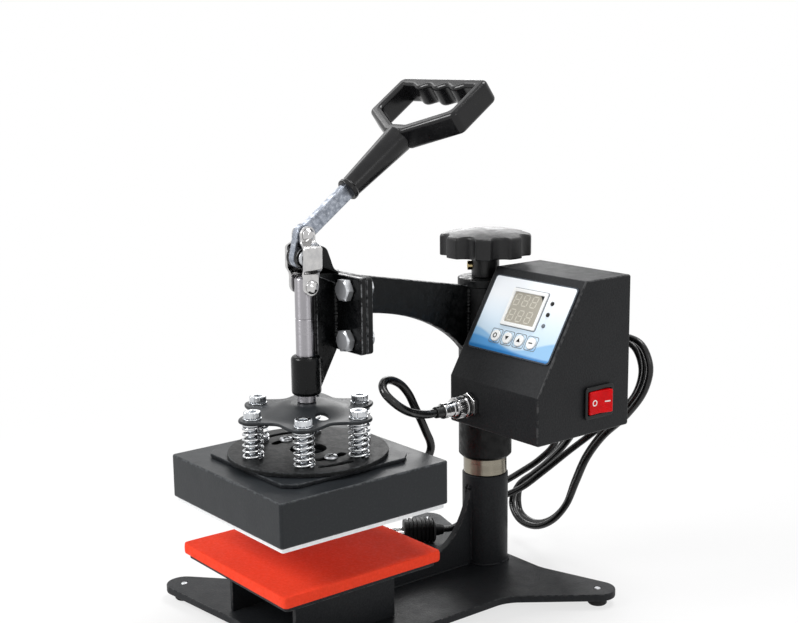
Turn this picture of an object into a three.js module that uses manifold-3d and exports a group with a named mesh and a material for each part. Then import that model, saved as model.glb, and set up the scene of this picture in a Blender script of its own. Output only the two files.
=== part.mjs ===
// A small swing-away heat press for labels. A sprung, heated head hangs from a toggle lever on an arm that
// turns about a column, over a padded square table. Millimetres, +Z up, the operator stands at -Y.
import * as THREE from "three";
import { mergeVertices } from "three/addons/utils/BufferGeometryUtils.js";
import Module from "manifold-3d";

const wasm = await Module();
wasm.setup();

const { cos, sin, tan, atan2, hypot, PI, max, min, ceil, abs, sqrt } = Math;
const degree = PI / 180;

// Sizes that several pieces share
const clearance = 0.3;
const overrun = 2;
const weld = 0.0001;
const arcStep = 22.5 * degree;
const roundSides = 32;
const smallSides = 12;

// The head hangs this far in front of the column's axis
const headReach = 151;

// Feet and base plate. Its front follows the head's reach, its rear the column's axis
const footRadius = 6.5;
const footHeight = 6;
const footDraft = 0.8;
const baseThickness = 5;
const legTipRadius = 12;
const legHoleRadius = 2.6;
const frontLegAhead = 39;
const frontEdgeAhead = 44;
const waistBehind = 10;
const rearLeg = { x: 90, y: 21 };
const frontLeg = { x: 98, y: -headReach - frontLegAhead };
const waist = { halfWidth: 61, rear: -36, front: -headReach + waistBehind, corner: 26 };
const rearEdge = { y: 17.7, halfWidth: 39, corner: 30 };
const frontEdge = { y: -headReach - frontEdgeAhead, halfWidth: 25, corner: 60 };

// Column, gusset, post and washer
const postRadius = 15.3;
const postHeight = 194.7;
const postBoreGap = 0.8;
const postBoreDepth = 60;
const columnStep = 0.85;
const columnWall = 2.6;
const columnHeight = 65;
const gussetThickness = 5;
const gussetHeight = 57;
const gussetToe = 11;
const washerInset = 2.3;
const washerThickness = 2;

// Pedestal, table and pad
const pedestalWidth = 76;
const pedestalDepth = 77;
const pedestalHeight = 34.9;
const pedestalWall = 3;
const tableSide = 114;
const tableThickness = 3;
const padSide = 120;
const padThickness = 7.2;
const padCorner = 2.5;

// Swing arm: collar, side plate and flange
const collarWall = 3;
const collarGap = 12;
const collarCap = 7;
const collarLip = 5;
const collarLipWidth = 0.5;
const collarChamfer = 2.5;
const armThickness = 6;
const armRootBelow = 4.1;
const armRootDepth = 51.5;
const armTipAbove = 20.5;
const armTipBelow = 1.3;
const flangeBehind = 26;
const flangeAbove = 1;
const flangeWidth = 60;
const flangeHeight = 48.5;
const armFlangeThickness = 4.5;
const headFlangeThickness = 4;
const flangeCorner = 2;
const boltRadius = 4;
const boltPitchX = 32;
const boltPitchZ = 32;
const boltHeadWidth = 13;
const boltHeadHeight = 5.3;
const nutHeight = 6.5;
const boltTail = 2;

// Head bracket: web, fork and guide sleeve
const webThickness = 5.6;
const webInset = 1;
const webProud = 0.5;
const sleeveGap = 4.8;
const sleeveWall = 3.1;
const sleeveLength = 25.3;
const sleeveRound = 2.6;
const forkRim = 2.7;
const forkEar = 2.9;
const forkShoulderBehind = 20;
const forkShoulderAbove = 1.5;
const forkThroatBehind = 10.5;

// Toggle: pivot, lever and links
const pivotAhead = 2.5;
const pivotAbove = 12.5;
const crank = 14.2;
const crankAngle = 77.6 * degree;
const leverAngle = 36 * degree;
const leverThickness = 5;
const leverBossRim = 2.9;
const leverWidth = 10;
const pinRadius = 3.5;
const pinHeadRadius = 5;
const pinHeadHeight = 1.6;
const rivetRadius = 2.2;
const rivetHeadRadius = 3.7;
const rivetHeadHeight = 2;
const lowPinBelow = 17.9;
const linkEndRim = 2.7;
const linkWaistRadius = 7;
const linkThickness = 2.4;
const linkBowGap = 0.9;
const linkLowStep = { from: 7, to: 11 };
const linkHighStep = { from: 3.6, to: 7.6 };
const linkWaistInset = 14;

// Handle: a tapered sleeve on the lever and a ring with finger notches
const gripStart = 41.5;
const gripWall = 1.7;
const gripHighRadius = 9.5;
const gripSocketDepth = 34;
const ringNeck = 92;
const ringNeckHalfWidth = 9;
const ringShoulder = 110.3;
const ringEnd = 146.3;
const ringHalfWidth = 43;
const ringDepth = 16;
const ringBar = 7.5;
const ringCorner = 4;
const ringBevel = 1.4;
const fingerNotches = 4;
const fingerNotchDepth = 3.2;
const fingerNotchSteps = 6;

// Plunger, bolts, springs and spring plate, on one circle of bolts
const plungerRadius = 6;
const plungerCrown = 5.4;
const plungerChamfer = 1.4;
const plungerTailRadius = 4;
const springCount = 6;
const springTurn = -8 * degree;
const springCircle = 37.8;
const springTurns = 6;
const springWire = 1.5;
const springBoltGap = 1.75;
const springLength = 22.5;
const springSides = 5;
const springSteps = 8;
const headBoltRadius = 3;
const headBoltHeadRadius = 5.6;
const headBoltHeadHeight = 4.6;
const headBoltSocket = 5;
const headBoltSocketDepth = 2.4;
const springPlateRim = 2.7;
const springPlateLobe = 6;
const springPlateThickness = 2;
const springPlateDome = 5.6;
const domeInner = 9;
const domeMargin = 4.8;
const domeSteps = 4;
const lobeSteps = 8;
const plateHole = { radius: 4.4, circle: 24, angle: -12 * degree };

// Heater: disc, top plate, cover, plate and element
const openGap = 28.3;
const plateLip = 3;
const coverSide = 126;
const coverHeight = 28.1;
const coverWall = 1.5;
const coverCorner = 2;
const coverHoleRadius = 20;
const topPlateMargin = 9.7;
const topPlateCut = 7;
const topPlateThickness = 2.4;
const discRim = 13.2;
const discThickness = 2.8;
const discHoleRadius = 9;
const slotCount = 4;
const slotInset = 10.8;
const slotWidth = 6;
const slotSweep = 34 * degree;
const slotSteps = 4;
const heatingPlateThickness = 11;
const elementRadius = 3.3;
const elementCircle = 40;
const elementGap = 40 * degree;
const elementPoints = 24;
const elementSides = 8;
const elementSteps = 32;
const leadGland = { x: 27, up: 17, radius: 5, length: 5 };

// Control box beside the collar, its panel and what is on it
const boxWidth = 83.3;
const boxDepth = 82.6;
const boxHeight = 100;
const boxAbove = 10.4;
const boxFront = -49;
const boxFrontHeight = 31.3;
const boxTopDepth = 41.3;
const boxWall = 1.5;
const labelInner = 5.2;
const labelOuter = 2.5;
const labelTop = 5.5;
const labelBottom = 58.5;
const labelCorner = 2.5;
const labelThickness = 0.8;
const windowInset = { left: 16.4, right: 13.2, top: 5.5, bottom: 6 };
const buttonRadius = 3.9;
const buttonStart = 5.7;
const buttonUp = 5.3;
const buttonPitch = 11;
const buttonCount = 4;
const buttonProud = 1.2;
const buttonTravel = 0.8;
const boardThickness = 1.6;
const boardDepth = 8;
const boardMargin = 8;
const standoffRadius = 2.6;
const socket = { across: 20.6, up: 15, thread: 5.8, nut: 15, nutHeight: 3.4, reach: 9, tail: 9 };
const plugRing = { radius: 7.2, length: 10 };
const plugBody = { radius: 5, length: 11 };
const plugTail = { radius: 4.1, length: 5.5 };
const switchY = 3.8;
const switchUp = 21;
const switchRim = { along: 2.75, high: 3.1 };
const switchBezel = 2;
const switchBodyInset = 1.7;
const switchBodyDepth = 16;
const rockerLength = 20;
const rockerHeight = 15;
const rockerRise = 2;
const rockerAngle = 8 * degree;
const rockerDepth = 7;
const rockerSteps = 8;
const gland = { across: 40.6, up: 42, radius: 6.5, length: 9, nut: 3 };

// Knob and its screw
const knobRadius = 31.3;
const knobStemWall = 4.3;
const knobStemHeight = 15.1;
const knobRim = 14.7;
const knobDome = 3.6;
const knobCrownRadius = 24;
const knobLobes = 8;
const knobNotchRadius = 9;
const knobNotchDepth = 4.2;
const screwRadius = 5;
const screwReach = 44;
const screwChamfer = 0.9;

// Cords: their routes are chosen by hand, from the piece that each leaves to the piece that it meets
const heaterCableRadius = 2.7;
const heaterCableSides = 8;
const heaterCableSteps = 34;
const heaterCableRoute = [
  [40, -84.8, 141],
  [41, -96, 143.6],
  [44.5, -108, 149],
  [44.2, -115.8, 154.8],
  [40, -119, 159.8],
  [34.8, -117.6, 163.4],
  [29.8, -111.9, 165.2],
  [26, -103, 163.6],
  [25.5, -95.5, 159.3],
  [26.8, -90.5, 152.8],
  [27.5, -86, 143.5],
  [27.4, -80.5, 133],
  [27.1, -76, 124],
  [27, -73.1, 118.1],
  [27, -72.3, 113.5],
  [27, -73.9, 109.1],
  [27, -77.1, 106.4],
  [27, -81.6, 105.3],
];
const powerCordRadius = 2.7;
const powerCordSides = 8;
const powerCordSteps = 80;
const powerCordRoute = [
  [61, 52, 168.5],
  [70, 54, 172],
  [82, 54, 178],
  [95, 54, 175],
  [102.5, 54, 161.5],
  [98.5, 54, 144.5],
  [83.5, 54, 124.5],
  [63.5, 53, 105.5],
  [49, 52, 86],
  [41, 50, 67],
  [34.5, 47, 49],
  [23, 44.5, 34.5],
  [7, 43, 26],
  [-10.5, 43.5, 26.5],
  [-22, 47, 36],
  [-20, 52, 49],
  [-8, 57, 60.5],
  [5, 60, 73],
  [19, 61, 88],
  [31.5, 61.5, 106],
  [40, 61.5, 126],
  [46.5, 61.5, 146.5],
  [56.5, 61.5, 165],
  [70.5, 61.5, 175.5],
  [84.5, 61.5, 174],
  [92, 61.5, 160.5],
  [88.5, 61.5, 142.5],
  [73.5, 61.5, 123],
  [55, 60.5, 104],
  [41, 59, 84],
  [32, 57.5, 63.5],
  [24, 57, 44],
  [9, 57, 28.5],
  [-11, 59, 20.5],
  [-30, 63, 23.5],
  [-35, 67, 38],
  [-24, 69, 52],
  [-8, 69.5, 66],
  [7, 69.5, 83],
  [18.5, 69.5, 102],
  [26.5, 69.5, 123],
  [34.5, 69.5, 144],
  [46.5, 69, 162],
  [62, 68.5, 171],
  [76, 68.5, 168],
  [83, 68.5, 154.5],
  [79, 68, 137],
  [64, 66.5, 119],
  [45.5, 63, 102.5],
  [27.5, 57.5, 86],
  [9, 50, 67.5],
  [-9.5, 43, 50.5],
  [-27, 38.5, 41.5],
  [-43, 36, 43],
  [-52, 36, 56],
  [-50.5, 37.5, 74.5],
  [-40.5, 41, 93.5],
  [-24.5, 46, 110.5],
  [-4.5, 50, 120],
  [15, 50.5, 118],
  [25.5, 48.5, 106.5],
  [24, 45, 92.5],
  [12.5, 41, 78.5],
  [-3.5, 36.5, 65.5],
  [-20, 32.5, 53],
  [-32.5, 27, 40.5],
  [-39.5, 19.5, 30],
  [-40, 9.5, 22],
  [-42.1, 2.8, 19.9],
];
const powerPlug = {
  x: -47.8,
  y: -6.4,
  heading: -122 * degree,
  length: 24,
  width: 15,
  height: 17,
  corner: 4,
  neck: 5,
  neckLength: 6,
  ribs: 5,
  ribDepth: 1,
  pinRadius: 2,
  pinLength: 12,
  pinPitch: 9,
};

// Radii and widths that follow from what passes through them
const columnRadius = postRadius + columnStep;
const collarRadius = postRadius + clearance + collarWall;
const postBoreRadius = screwRadius + postBoreGap;
const knobStemRadius = screwRadius + clearance + knobStemWall;
const sleeveRadius = plungerRadius + clearance + sleeveWall;
const forkGap = leverThickness + 2 * clearance;
const forkWidth = forkGap + 2 * forkEar;
const forkRadius = pinRadius + clearance + forkRim;
const leverBossRadius = pinRadius + clearance + leverBossRim;
const linkEndRadius = rivetRadius + clearance + linkEndRim;
const linkBow = forkWidth / 2 + clearance + pinHeadHeight + linkBowGap;
const gripLowRadius = leverWidth / 2 + clearance + gripWall;
const springRadius = headBoltRadius + springBoltGap + springWire / 2;
const switchLength = rockerLength + 2 * switchRim.along;
const switchHeight = rockerHeight + 2 * switchRim.high;

// Heights that follow from the stack of pieces, first the column's and then the head's
const baseTop = footHeight + baseThickness;
const columnTop = baseTop + columnHeight;
const collarBottom = columnTop + collarGap;
const postTop = baseTop + clearance + postHeight;
const washerTop = postTop + clearance + washerThickness;
const capBottom = washerTop + clearance;
const collarTop = capBottom + collarCap;
const armRootTop = collarTop - armRootBelow;
const armRootLow = armRootTop - armRootDepth;
const pedestalTop = baseTop + clearance + pedestalHeight;
const tableTop = pedestalTop + clearance + tableThickness;
const padTop = tableTop + clearance + padThickness;
const plateBottom = padTop + openGap;
const coverBottom = plateBottom + plateLip;
const coverTop = coverBottom + coverHeight;
const topPlateTop = coverTop + clearance + topPlateThickness;
const discTop = topPlateTop + clearance + discThickness;
const springPlateBottom = discTop + clearance + springLength + clearance;
const springPlateTop = springPlateBottom + springPlateThickness;
const sleeveBottom = springPlateTop + springPlateDome + sleeveGap;
const sleeveTop = sleeveBottom + sleeveLength;
const flangeBottom = sleeveTop + flangeAbove;
const flangeTop = flangeBottom + flangeHeight;
const armTipLow = flangeBottom + armTipAbove;
const armTipTop = flangeTop - armTipBelow;
const webBottom = flangeBottom + webInset;
const webTop = flangeTop + webProud;
const plugHeight = baseTop + clearance + powerPlug.height / 2;

// Places on the head, counted back from its axis
const flangeFace = -headReach + flangeBehind;
const forkThroat = -headReach + forkThroatBehind;
const forkShoulder = { y: -headReach + forkShoulderBehind, z: flangeTop + forkShoulderAbove };

// Points of the toggle in the head's own plane
const pivot = { y: -headReach - pivotAhead, z: flangeTop + pivotAbove };
const crankPin = { y: pivot.y + crank * cos(crankAngle), z: pivot.z + crank * sin(crankAngle) };
const lowPin = { y: -headReach, z: pivot.z - lowPinBelow };
const linkLength = hypot(crankPin.y - lowPin.y, crankPin.z - lowPin.z);
const plungerTravel =
  lowPin.z - (pivot.z - crank - sqrt(linkLength ** 2 - (pivot.y - lowPin.y) ** 2));

// The control box's walls, and places on them
const boxLeft = collarRadius + collarLipWidth + clearance;
const boxRight = boxLeft + boxWidth;
const boxBack = boxFront + boxDepth;
const boxRidge = boxBack - boxTopDepth;
const boxTop = collarTop + boxAbove;
const boxBottom = boxTop - boxHeight;
const boxBrow = boxBottom + boxFrontHeight;
const panelAngle = atan2(boxTop - boxBrow, boxRidge - boxFront);
const labelLeft = boxLeft + labelInner;
const labelRight = boxRight - labelOuter;
const panelWindow = {
  left: labelLeft + windowInset.left,
  right: labelRight - windowInset.right,
  top: labelTop + windowInset.top,
  bottom: labelBottom - windowInset.bottom,
};
const buttonRow = panelWindow.bottom - buttonUp;
const socketX = boxLeft + socket.across;
const socketZ = boxBottom + socket.up;
const switchZ = boxBottom + switchUp;
const glandX = boxLeft + gland.across;
const glandZ = boxBottom + gland.up;

const painted = { color: 0x1b1c1e, roughness: 0.55, metalness: 0.35 };
const finishes = {
  black: new THREE.MeshStandardMaterial(painted),
  plastic: new THREE.MeshStandardMaterial({ color: 0x17181a, roughness: 0.45, metalness: 0 }),
  rubber: new THREE.MeshStandardMaterial({ color: 0x101010, roughness: 0.8, metalness: 0 }),
  silicone: new THREE.MeshStandardMaterial({ color: 0xd8371f, roughness: 0.7, metalness: 0 }),
  steel: new THREE.MeshStandardMaterial({ color: 0xc9ccd0, roughness: 0.25, metalness: 1 }),
  zinc: new THREE.MeshStandardMaterial({ color: 0xaeb3b8, roughness: 0.4, metalness: 1 }),
  aluminium: new THREE.MeshStandardMaterial({ color: 0xdadcdd, roughness: 0.4, metalness: 1 }),
  label: new THREE.MeshStandardMaterial({ color: 0xdfe9f2, roughness: 0.35, metalness: 0 }),
  board: new THREE.MeshStandardMaterial({ color: 0x1f6b3a, roughness: 0.6, metalness: 0 }),
  ivory: new THREE.MeshStandardMaterial({ color: 0xe9e9e6, roughness: 0.4, metalness: 0 }),
  red: new THREE.MeshStandardMaterial({ color: 0xc81418, roughness: 0.3, metalness: 0 }),
};

// A closed solid from a closed geometry. Corners that coincide are merged and faces without area dropped.
function solid(geometry) {
  const plain = geometry.index ? geometry.toNonIndexed() : geometry.clone();
  plain.deleteAttribute("normal");
  plain.deleteAttribute("uv");
  const merged = mergeVertices(plain, weld);
  const corners = Array.from(merged.index.array);
  const faces = [];
  for (let i = 0; i < corners.length; i += 3) {
    const [a, b, c] = corners.slice(i, i + 3);
    if (a !== b && b !== c && a !== c) faces.push(a, b, c);
  }
  const vertProperties = merged.attributes.position.array;
  const made = (triVerts) =>
    new wasm.Manifold(new wasm.Mesh({ numProp: 3, vertProperties, triVerts }));
  const first = made(new Uint32Array(faces));
  return first.volume() < 0 ? made(new Uint32Array(faces.reverse())) : first;
}

function joined(...solids) {
  return solids.reduce((sum, next) => sum.add(next));
}

function cut(body, ...tools) {
  return tools.reduce((left, tool) => left.subtract(tool), body);
}

const axisX = new THREE.Vector3(1, 0, 0);
const axisY = new THREE.Vector3(0, 1, 0);
const axisZ = new THREE.Vector3(0, 0, 1);

// A drawing's own axes laid on the part's: seen from the right side, or from the front
const sideView = new THREE.Matrix4().makeBasis(axisY, axisZ, axisX);
const frontView = new THREE.Matrix4().makeBasis(axisX, axisZ, axisY.clone().negate());

// A closed outline from [x, y, radius] corners, where a radius rounds its corner with an arc.
function outline(corners) {
  const points = [];
  corners.forEach(([x, y, radius = 0], i) => {
    const here = new THREE.Vector2(x, y);
    if (!radius) {
      points.push(here);
      return;
    }
    const [beforeX, beforeY] = corners[(i + corners.length - 1) % corners.length];
    const [afterX, afterY] = corners[(i + 1) % corners.length];
    const toBefore = new THREE.Vector2(beforeX, beforeY).sub(here).normalize();
    const toAfter = new THREE.Vector2(afterX, afterY).sub(here).normalize();
    const half = Math.acos(toBefore.dot(toAfter)) / 2;
    const middle = toBefore.clone().add(toAfter).normalize();
    const centre = here.clone().addScaledVector(middle, radius / sin(half));
    const from = here.clone().addScaledVector(toBefore, radius / tan(half)).sub(centre);
    const to = here.clone().addScaledVector(toAfter, radius / tan(half)).sub(centre);
    const sweep = atan2(from.cross(to), from.dot(to));
    const steps = max(1, ceil(abs(sweep) / arcStep));
    for (let k = 0; k <= steps; k++) {
      points.push(from.clone().rotateAround(new THREE.Vector2(), (sweep * k) / steps).add(centre));
    }
  });
  return new THREE.Shape(points);
}

// Corners that run counterclockwise, with each side moved inwards.
function insetBy(corners, inset) {
  return corners.map(([x, y], i) => {
    const [beforeX, beforeY] = corners[(i + corners.length - 1) % corners.length];
    const [afterX, afterY] = corners[(i + 1) % corners.length];
    const into = new THREE.Vector2(x - beforeX, y - beforeY).normalize();
    const onward = new THREE.Vector2(afterX - x, afterY - y).normalize();
    const move = inset / (1 + into.dot(onward));
    return [x - (into.y + onward.y) * move, y + (into.x + onward.x) * move];
  });
}

function ringPoints(radius, sides, x = 0, y = 0, turn = 0) {
  return Array.from({ length: sides }, (unused, k) => {
    const angle = turn + (2 * PI * k) / sides;
    return new THREE.Vector2(x + radius * cos(angle), y + radius * sin(angle));
  });
}

function rectangle(left, bottom, right, top, corner = 0) {
  return outline([
    [left, bottom, corner],
    [right, bottom, corner],
    [right, top, corner],
    [left, top, corner],
  ]);
}

// A slab drawn in plan, from one height to another.
function slab(shape, low, high, bevel = 0) {
  const geometry = new THREE.ExtrudeGeometry(shape, {
    depth: high - low - 2 * bevel,
    bevelEnabled: bevel > 0,
    bevelThickness: bevel,
    bevelSize: bevel,
    bevelOffset: -bevel,
    bevelSegments: 1,
  });
  return geometry.translate(0, 0, low + bevel);
}

// A slab drawn as seen from the right side, from one X to another.
function sideSlab(shape, left, right) {
  return solid(slab(shape, left, right).applyMatrix4(sideView));
}

// A slab drawn as seen from the front, from its front Y back to its rear Y.
function frontSlab(shape, front, rear) {
  return solid(slab(shape, -rear, -front).applyMatrix4(frontView));
}

function planSlab(shape, low, high, bevel = 0) {
  return solid(slab(shape, low, high, bevel));
}

function block(left, right, front, rear, low, high) {
  return planSlab(rectangle(left, front, right, rear), low, high);
}

// A round solid about +Z from [radius, height] points that start and end on the axis or close on themselves.
function turned(profile, sides = roundSides) {
  const points = profile.map(([radius, height]) => new THREE.Vector2(radius, height));
  return new THREE.LatheGeometry(points, sides).rotateX(PI / 2);
}

function rodProfile(radius, low, high, chamfer = 0) {
  const edge = chamfer > 0 ? [[radius - chamfer, low], [radius, low + chamfer]] : [[radius, low]];
  const lip = chamfer > 0 ? [[radius, high - chamfer], [radius - chamfer, high]] : [[radius, high]];
  return [[0, low], ...edge, ...lip, [0, high]];
}

function tubeProfile(outer, inner, low, high) {
  return [[inner, low], [outer, low], [outer, high], [inner, high], [inner, low]];
}

function rod(radius, low, high, { x = 0, y = 0, sides = roundSides, chamfer = 0 } = {}) {
  return solid(turned(rodProfile(radius, low, high, chamfer), sides).translate(x, y, 0));
}

function tube(outer, inner, low, high, { x = 0, y = 0, sides = roundSides } = {}) {
  return solid(turned(tubeProfile(outer, inner, low, high), sides).translate(x, y, 0));
}

// A round solid whose axis runs along +X, through a point of the toggle's plane.
function crossTurned(profile, at, sides = smallSides) {
  return solid(turned(profile, sides).rotateY(PI / 2).translate(0, at.y, at.z));
}

// A round solid whose axis runs along -Y, from heights that count towards the front.
function frontTurned(profile, x, z, sides = smallSides) {
  return solid(turned(profile, sides).rotateX(PI / 2).translate(x, 0, z));
}

// A bar of one thickness with round ends, from one point of the toggle's plane to another.
function strap(from, to, radius, left, right) {
  const along = atan2(to.z - from.z, to.y - from.y);
  const cap = (at, start) =>
    Array.from({ length: smallSides / 2 + 1 }, (unused, k) => {
      const angle = start + (PI * k) / (smallSides / 2);
      return new THREE.Vector2(at.y + radius * cos(angle), at.z + radius * sin(angle));
    });
  const points = [...cap(to, along - PI / 2), ...cap(from, along + PI / 2)];
  return sideSlab(new THREE.Shape(points), left, right);
}

function hexagon(acrossFlats, x = 0, y = 0) {
  return new THREE.Shape(ringPoints(acrossFlats / 2 / cos(PI / 6), 6, x, y, PI / 6));
}

// A tube along a smooth line through the points.
function cordSolid(points, radius, sides, steps) {
  const path = new THREE.CatmullRomCurve3(points.map((point) => new THREE.Vector3(...point)));
  const section = new THREE.Shape(ringPoints(radius, sides));
  const tubing = new THREE.ExtrudeGeometry(section, { steps, extrudePath: path });
  return { path, solid: solid(tubing) };
}

// The least gap between two stretches of one round line, measured on points along it.
function leastGap(path, radius, count) {
  const points = path.getSpacedPoints(count);
  const stride = path.getLength() / count;
  const apart = ceil((PI * radius) / stride) + 1;
  let least = Infinity;
  for (let i = 0; i < points.length; i++) {
    for (let j = i + apart; j < points.length; j++) {
      least = min(least, points[i].distanceTo(points[j]));
    }
  }
  return least - 2 * radius;
}

const machine = new THREE.Group();

// Adds a solid to a group as a named mesh with flat faces.
function piece(name, body, finish, parent = machine) {
  const mesh = body.getMesh();
  const corners = new Float32Array(mesh.numVert * 3);
  for (let i = 0; i < mesh.numVert; i++) {
    const from = i * mesh.numProp;
    corners.set(mesh.vertProperties.subarray(from, from + 3), i * 3);
  }
  const indexed = new THREE.BufferGeometry();
  indexed.setAttribute("position", new THREE.BufferAttribute(corners, 3));
  indexed.setIndex(new THREE.BufferAttribute(mesh.triVerts, 1));
  const geometry = indexed.toNonIndexed();
  geometry.computeVertexNormals();
  const made = new THREE.Mesh(geometry, finishes[finish]);
  made.name = name;
  parent.add(made);
  return made;
}

// The point where a line from a corner touches a leg's round tip, on one side of it.
function touch(from, tip, side) {
  const reach = hypot(tip.x - from.x, tip.y - from.y);
  const towards = atan2(tip.y - from.y, tip.x - from.x);
  const spread = Math.asin(legTipRadius / reach);
  return towards + side * spread + side * (PI / 2);
}

// The round tip of a leg as points, from one angle to another.
function tipArc(tip, start, end) {
  const sweep = end - start;
  const steps = ceil(abs(sweep) / arcStep);
  return Array.from({ length: steps + 1 }, (unused, k) => {
    const angle = start + (sweep * k) / steps;
    return [tip.x + legTipRadius * cos(angle), tip.y + legTipRadius * sin(angle)];
  });
}

function basePlate() {
  const frontCorner = { x: frontEdge.halfWidth, y: frontEdge.y };
  const waistFront = { x: waist.halfWidth, y: waist.front };
  const waistRear = { x: waist.halfWidth, y: waist.rear };
  const rearCorner = { x: rearEdge.halfWidth, y: rearEdge.y };
  const frontTip = tipArc(
    frontLeg,
    touch(frontCorner, frontLeg, -1),
    touch(waistFront, frontLeg, 1),
  );
  const rearTip = tipArc(
    rearLeg,
    touch(waistRear, rearLeg, -1),
    touch(rearCorner, rearLeg, 1),
  );
  const right = [
    [frontCorner.x, frontCorner.y, frontEdge.corner],
    ...frontTip,
    [waistFront.x, waistFront.y, waist.corner],
    [waistRear.x, waistRear.y, waist.corner],
    ...rearTip,
    [rearCorner.x, rearCorner.y, rearEdge.corner],
  ];
  const left = right.map(([x, y, radius]) => [-x, y, radius]).reverse();
  const shape = outline([...right, ...left]);
  for (const { x, y } of legs()) {
    shape.holes.push(new THREE.Path(ringPoints(legHoleRadius, smallSides, x, y)));
  }
  return planSlab(shape, footHeight, baseTop);
}

function legs() {
  return [
    { name: "front_left", x: -frontLeg.x, y: frontLeg.y },
    { name: "front_right", x: frontLeg.x, y: frontLeg.y },
    { name: "rear_left", x: -rearLeg.x, y: rearLeg.y },
    { name: "rear_right", x: rearLeg.x, y: rearLeg.y },
  ];
}

// A rubber foot with a spigot that fills the leg's hole from below.
function foot({ x, y }) {
  const top = footHeight - clearance;
  const spigot = legHoleRadius - clearance;
  const profile = [
    [0, 0],
    [footRadius - footDraft, 0],
    [footRadius, footDraft],
    [footRadius, top - footDraft],
    [footRadius - footDraft, top],
    [spigot, top],
    [spigot, baseTop - clearance],
    [0, baseTop - clearance],
  ];
  return solid(turned(profile, smallSides).translate(x, y, 0));
}

// The column's tube with the curved gusset that runs along the base to the pedestal.
function column() {
  const low = baseTop + clearance;
  const shell = tube(columnRadius, columnRadius - columnWall, low, columnTop);
  const toe = -headReach + pedestalDepth / 2 + clearance;
  const root = -columnRadius + columnWall / 2;
  const top = low + gussetHeight;
  const kneeShare = 0.62;
  const rootPullShare = 0.1;
  const toePullShare = 0.3;
  const shape = new THREE.Shape();
  const knee = root + (toe - root) * kneeShare;
  shape.moveTo(root, low);
  shape.lineTo(root, top);
  shape.bezierCurveTo(
    root + (toe - root) * rootPullShare,
    low + (top - low) * toePullShare,
    root + (toe - root) * toePullShare,
    low + gussetToe,
    knee,
    low + gussetToe,
  );
  shape.lineTo(toe, low + gussetToe);
  shape.lineTo(toe, low);
  return joined(shell, sideSlab(shape, -gussetThickness / 2, gussetThickness / 2));
}

// The bright post that stands in the column and that the collar turns on.
function post() {
  const spigot = columnRadius - columnWall - clearance;
  const shoulder = columnTop + clearance;
  const boreBottom = postTop - postBoreDepth;
  const low = baseTop + clearance;
  return solid(
    turned([
      [0, low],
      [spigot, low],
      [spigot, shoulder],
      [postRadius, shoulder],
      [postRadius, postTop - clearance],
      [postRadius - clearance, postTop],
      [postBoreRadius, postTop],
      [postBoreRadius, boreBottom],
      [0, boreBottom],
    ]),
  );
}

function washer() {
  return tube(postRadius - washerInset, postBoreRadius, postTop + clearance, washerTop);
}

function pedestal() {
  const half = pedestalWidth / 2;
  const low = baseTop + clearance;
  const shape = outline([
    [-half, low],
    [-half + pedestalWall, low],
    [-half + pedestalWall, pedestalTop - pedestalWall],
    [half - pedestalWall, pedestalTop - pedestalWall],
    [half - pedestalWall, low],
    [half, low],
    [half, pedestalTop, pedestalWall],
    [-half, pedestalTop, pedestalWall],
  ]);
  return frontSlab(shape, -headReach - pedestalDepth / 2, -headReach + pedestalDepth / 2);
}

function squarePlate(side, low, high, corner = 0, bevel = 0) {
  const half = side / 2;
  const shape = rectangle(-half, -headReach - half, half, -headReach + half, corner);
  return planSlab(shape, low, high, bevel);
}

// The swing arm: a collar with a cap, the side plate and the flange that carries the head.
function swingArm() {
  const bore = postRadius + clearance;
  const lipRadius = collarRadius + collarLipWidth;
  const collar = solid(
    turned([
      [bore, collarBottom],
      [collarRadius - collarChamfer, collarBottom],
      [collarRadius, collarBottom + collarChamfer],
      [collarRadius, collarTop - collarLip],
      [lipRadius, collarTop - collarLip + collarLipWidth],
      [lipRadius, collarTop],
      [screwRadius + clearance, collarTop],
      [screwRadius + clearance, capBottom],
      [bore, capBottom],
      [bore, collarBottom],
    ]),
  );
  const root = -(bore + collarRadius) / 2;
  const tip = flangeFace + clearance / 2 + armFlangeThickness;
  const lowPullShare = 0.12;
  const tipPullShare = 0.55;
  const shape = new THREE.Shape();
  shape.moveTo(root, armRootLow);
  shape.bezierCurveTo(
    root + (tip - root) * lowPullShare,
    armRootLow + (armTipLow - armRootLow) * tipPullShare,
    root + (tip - root) * tipPullShare,
    armTipLow,
    tip,
    armTipLow,
  );
  shape.lineTo(tip, armTipTop);
  shape.lineTo(root, armRootTop);
  const plate = sideSlab(shape, -armThickness / 2, armThickness / 2);
  return joined(collar, plate, flange(tip - armFlangeThickness, tip));
}

function boltPlaces() {
  const middle = (flangeBottom + flangeTop) / 2 - clearance;
  const places = [];
  for (const x of [-boltPitchX / 2, boltPitchX / 2]) {
    for (const z of [middle - boltPitchZ / 2, middle + boltPitchZ / 2]) places.push({ x, z });
  }
  return places;
}

function flange(front, rear) {
  const half = flangeWidth / 2;
  const shape = rectangle(-half, flangeBottom, half, flangeTop, flangeCorner);
  for (const { x, z } of boltPlaces()) {
    shape.holes.push(new THREE.Path(ringPoints(boltRadius + clearance, smallSides, x, z)));
  }
  return frontSlab(shape, front, rear);
}

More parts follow.
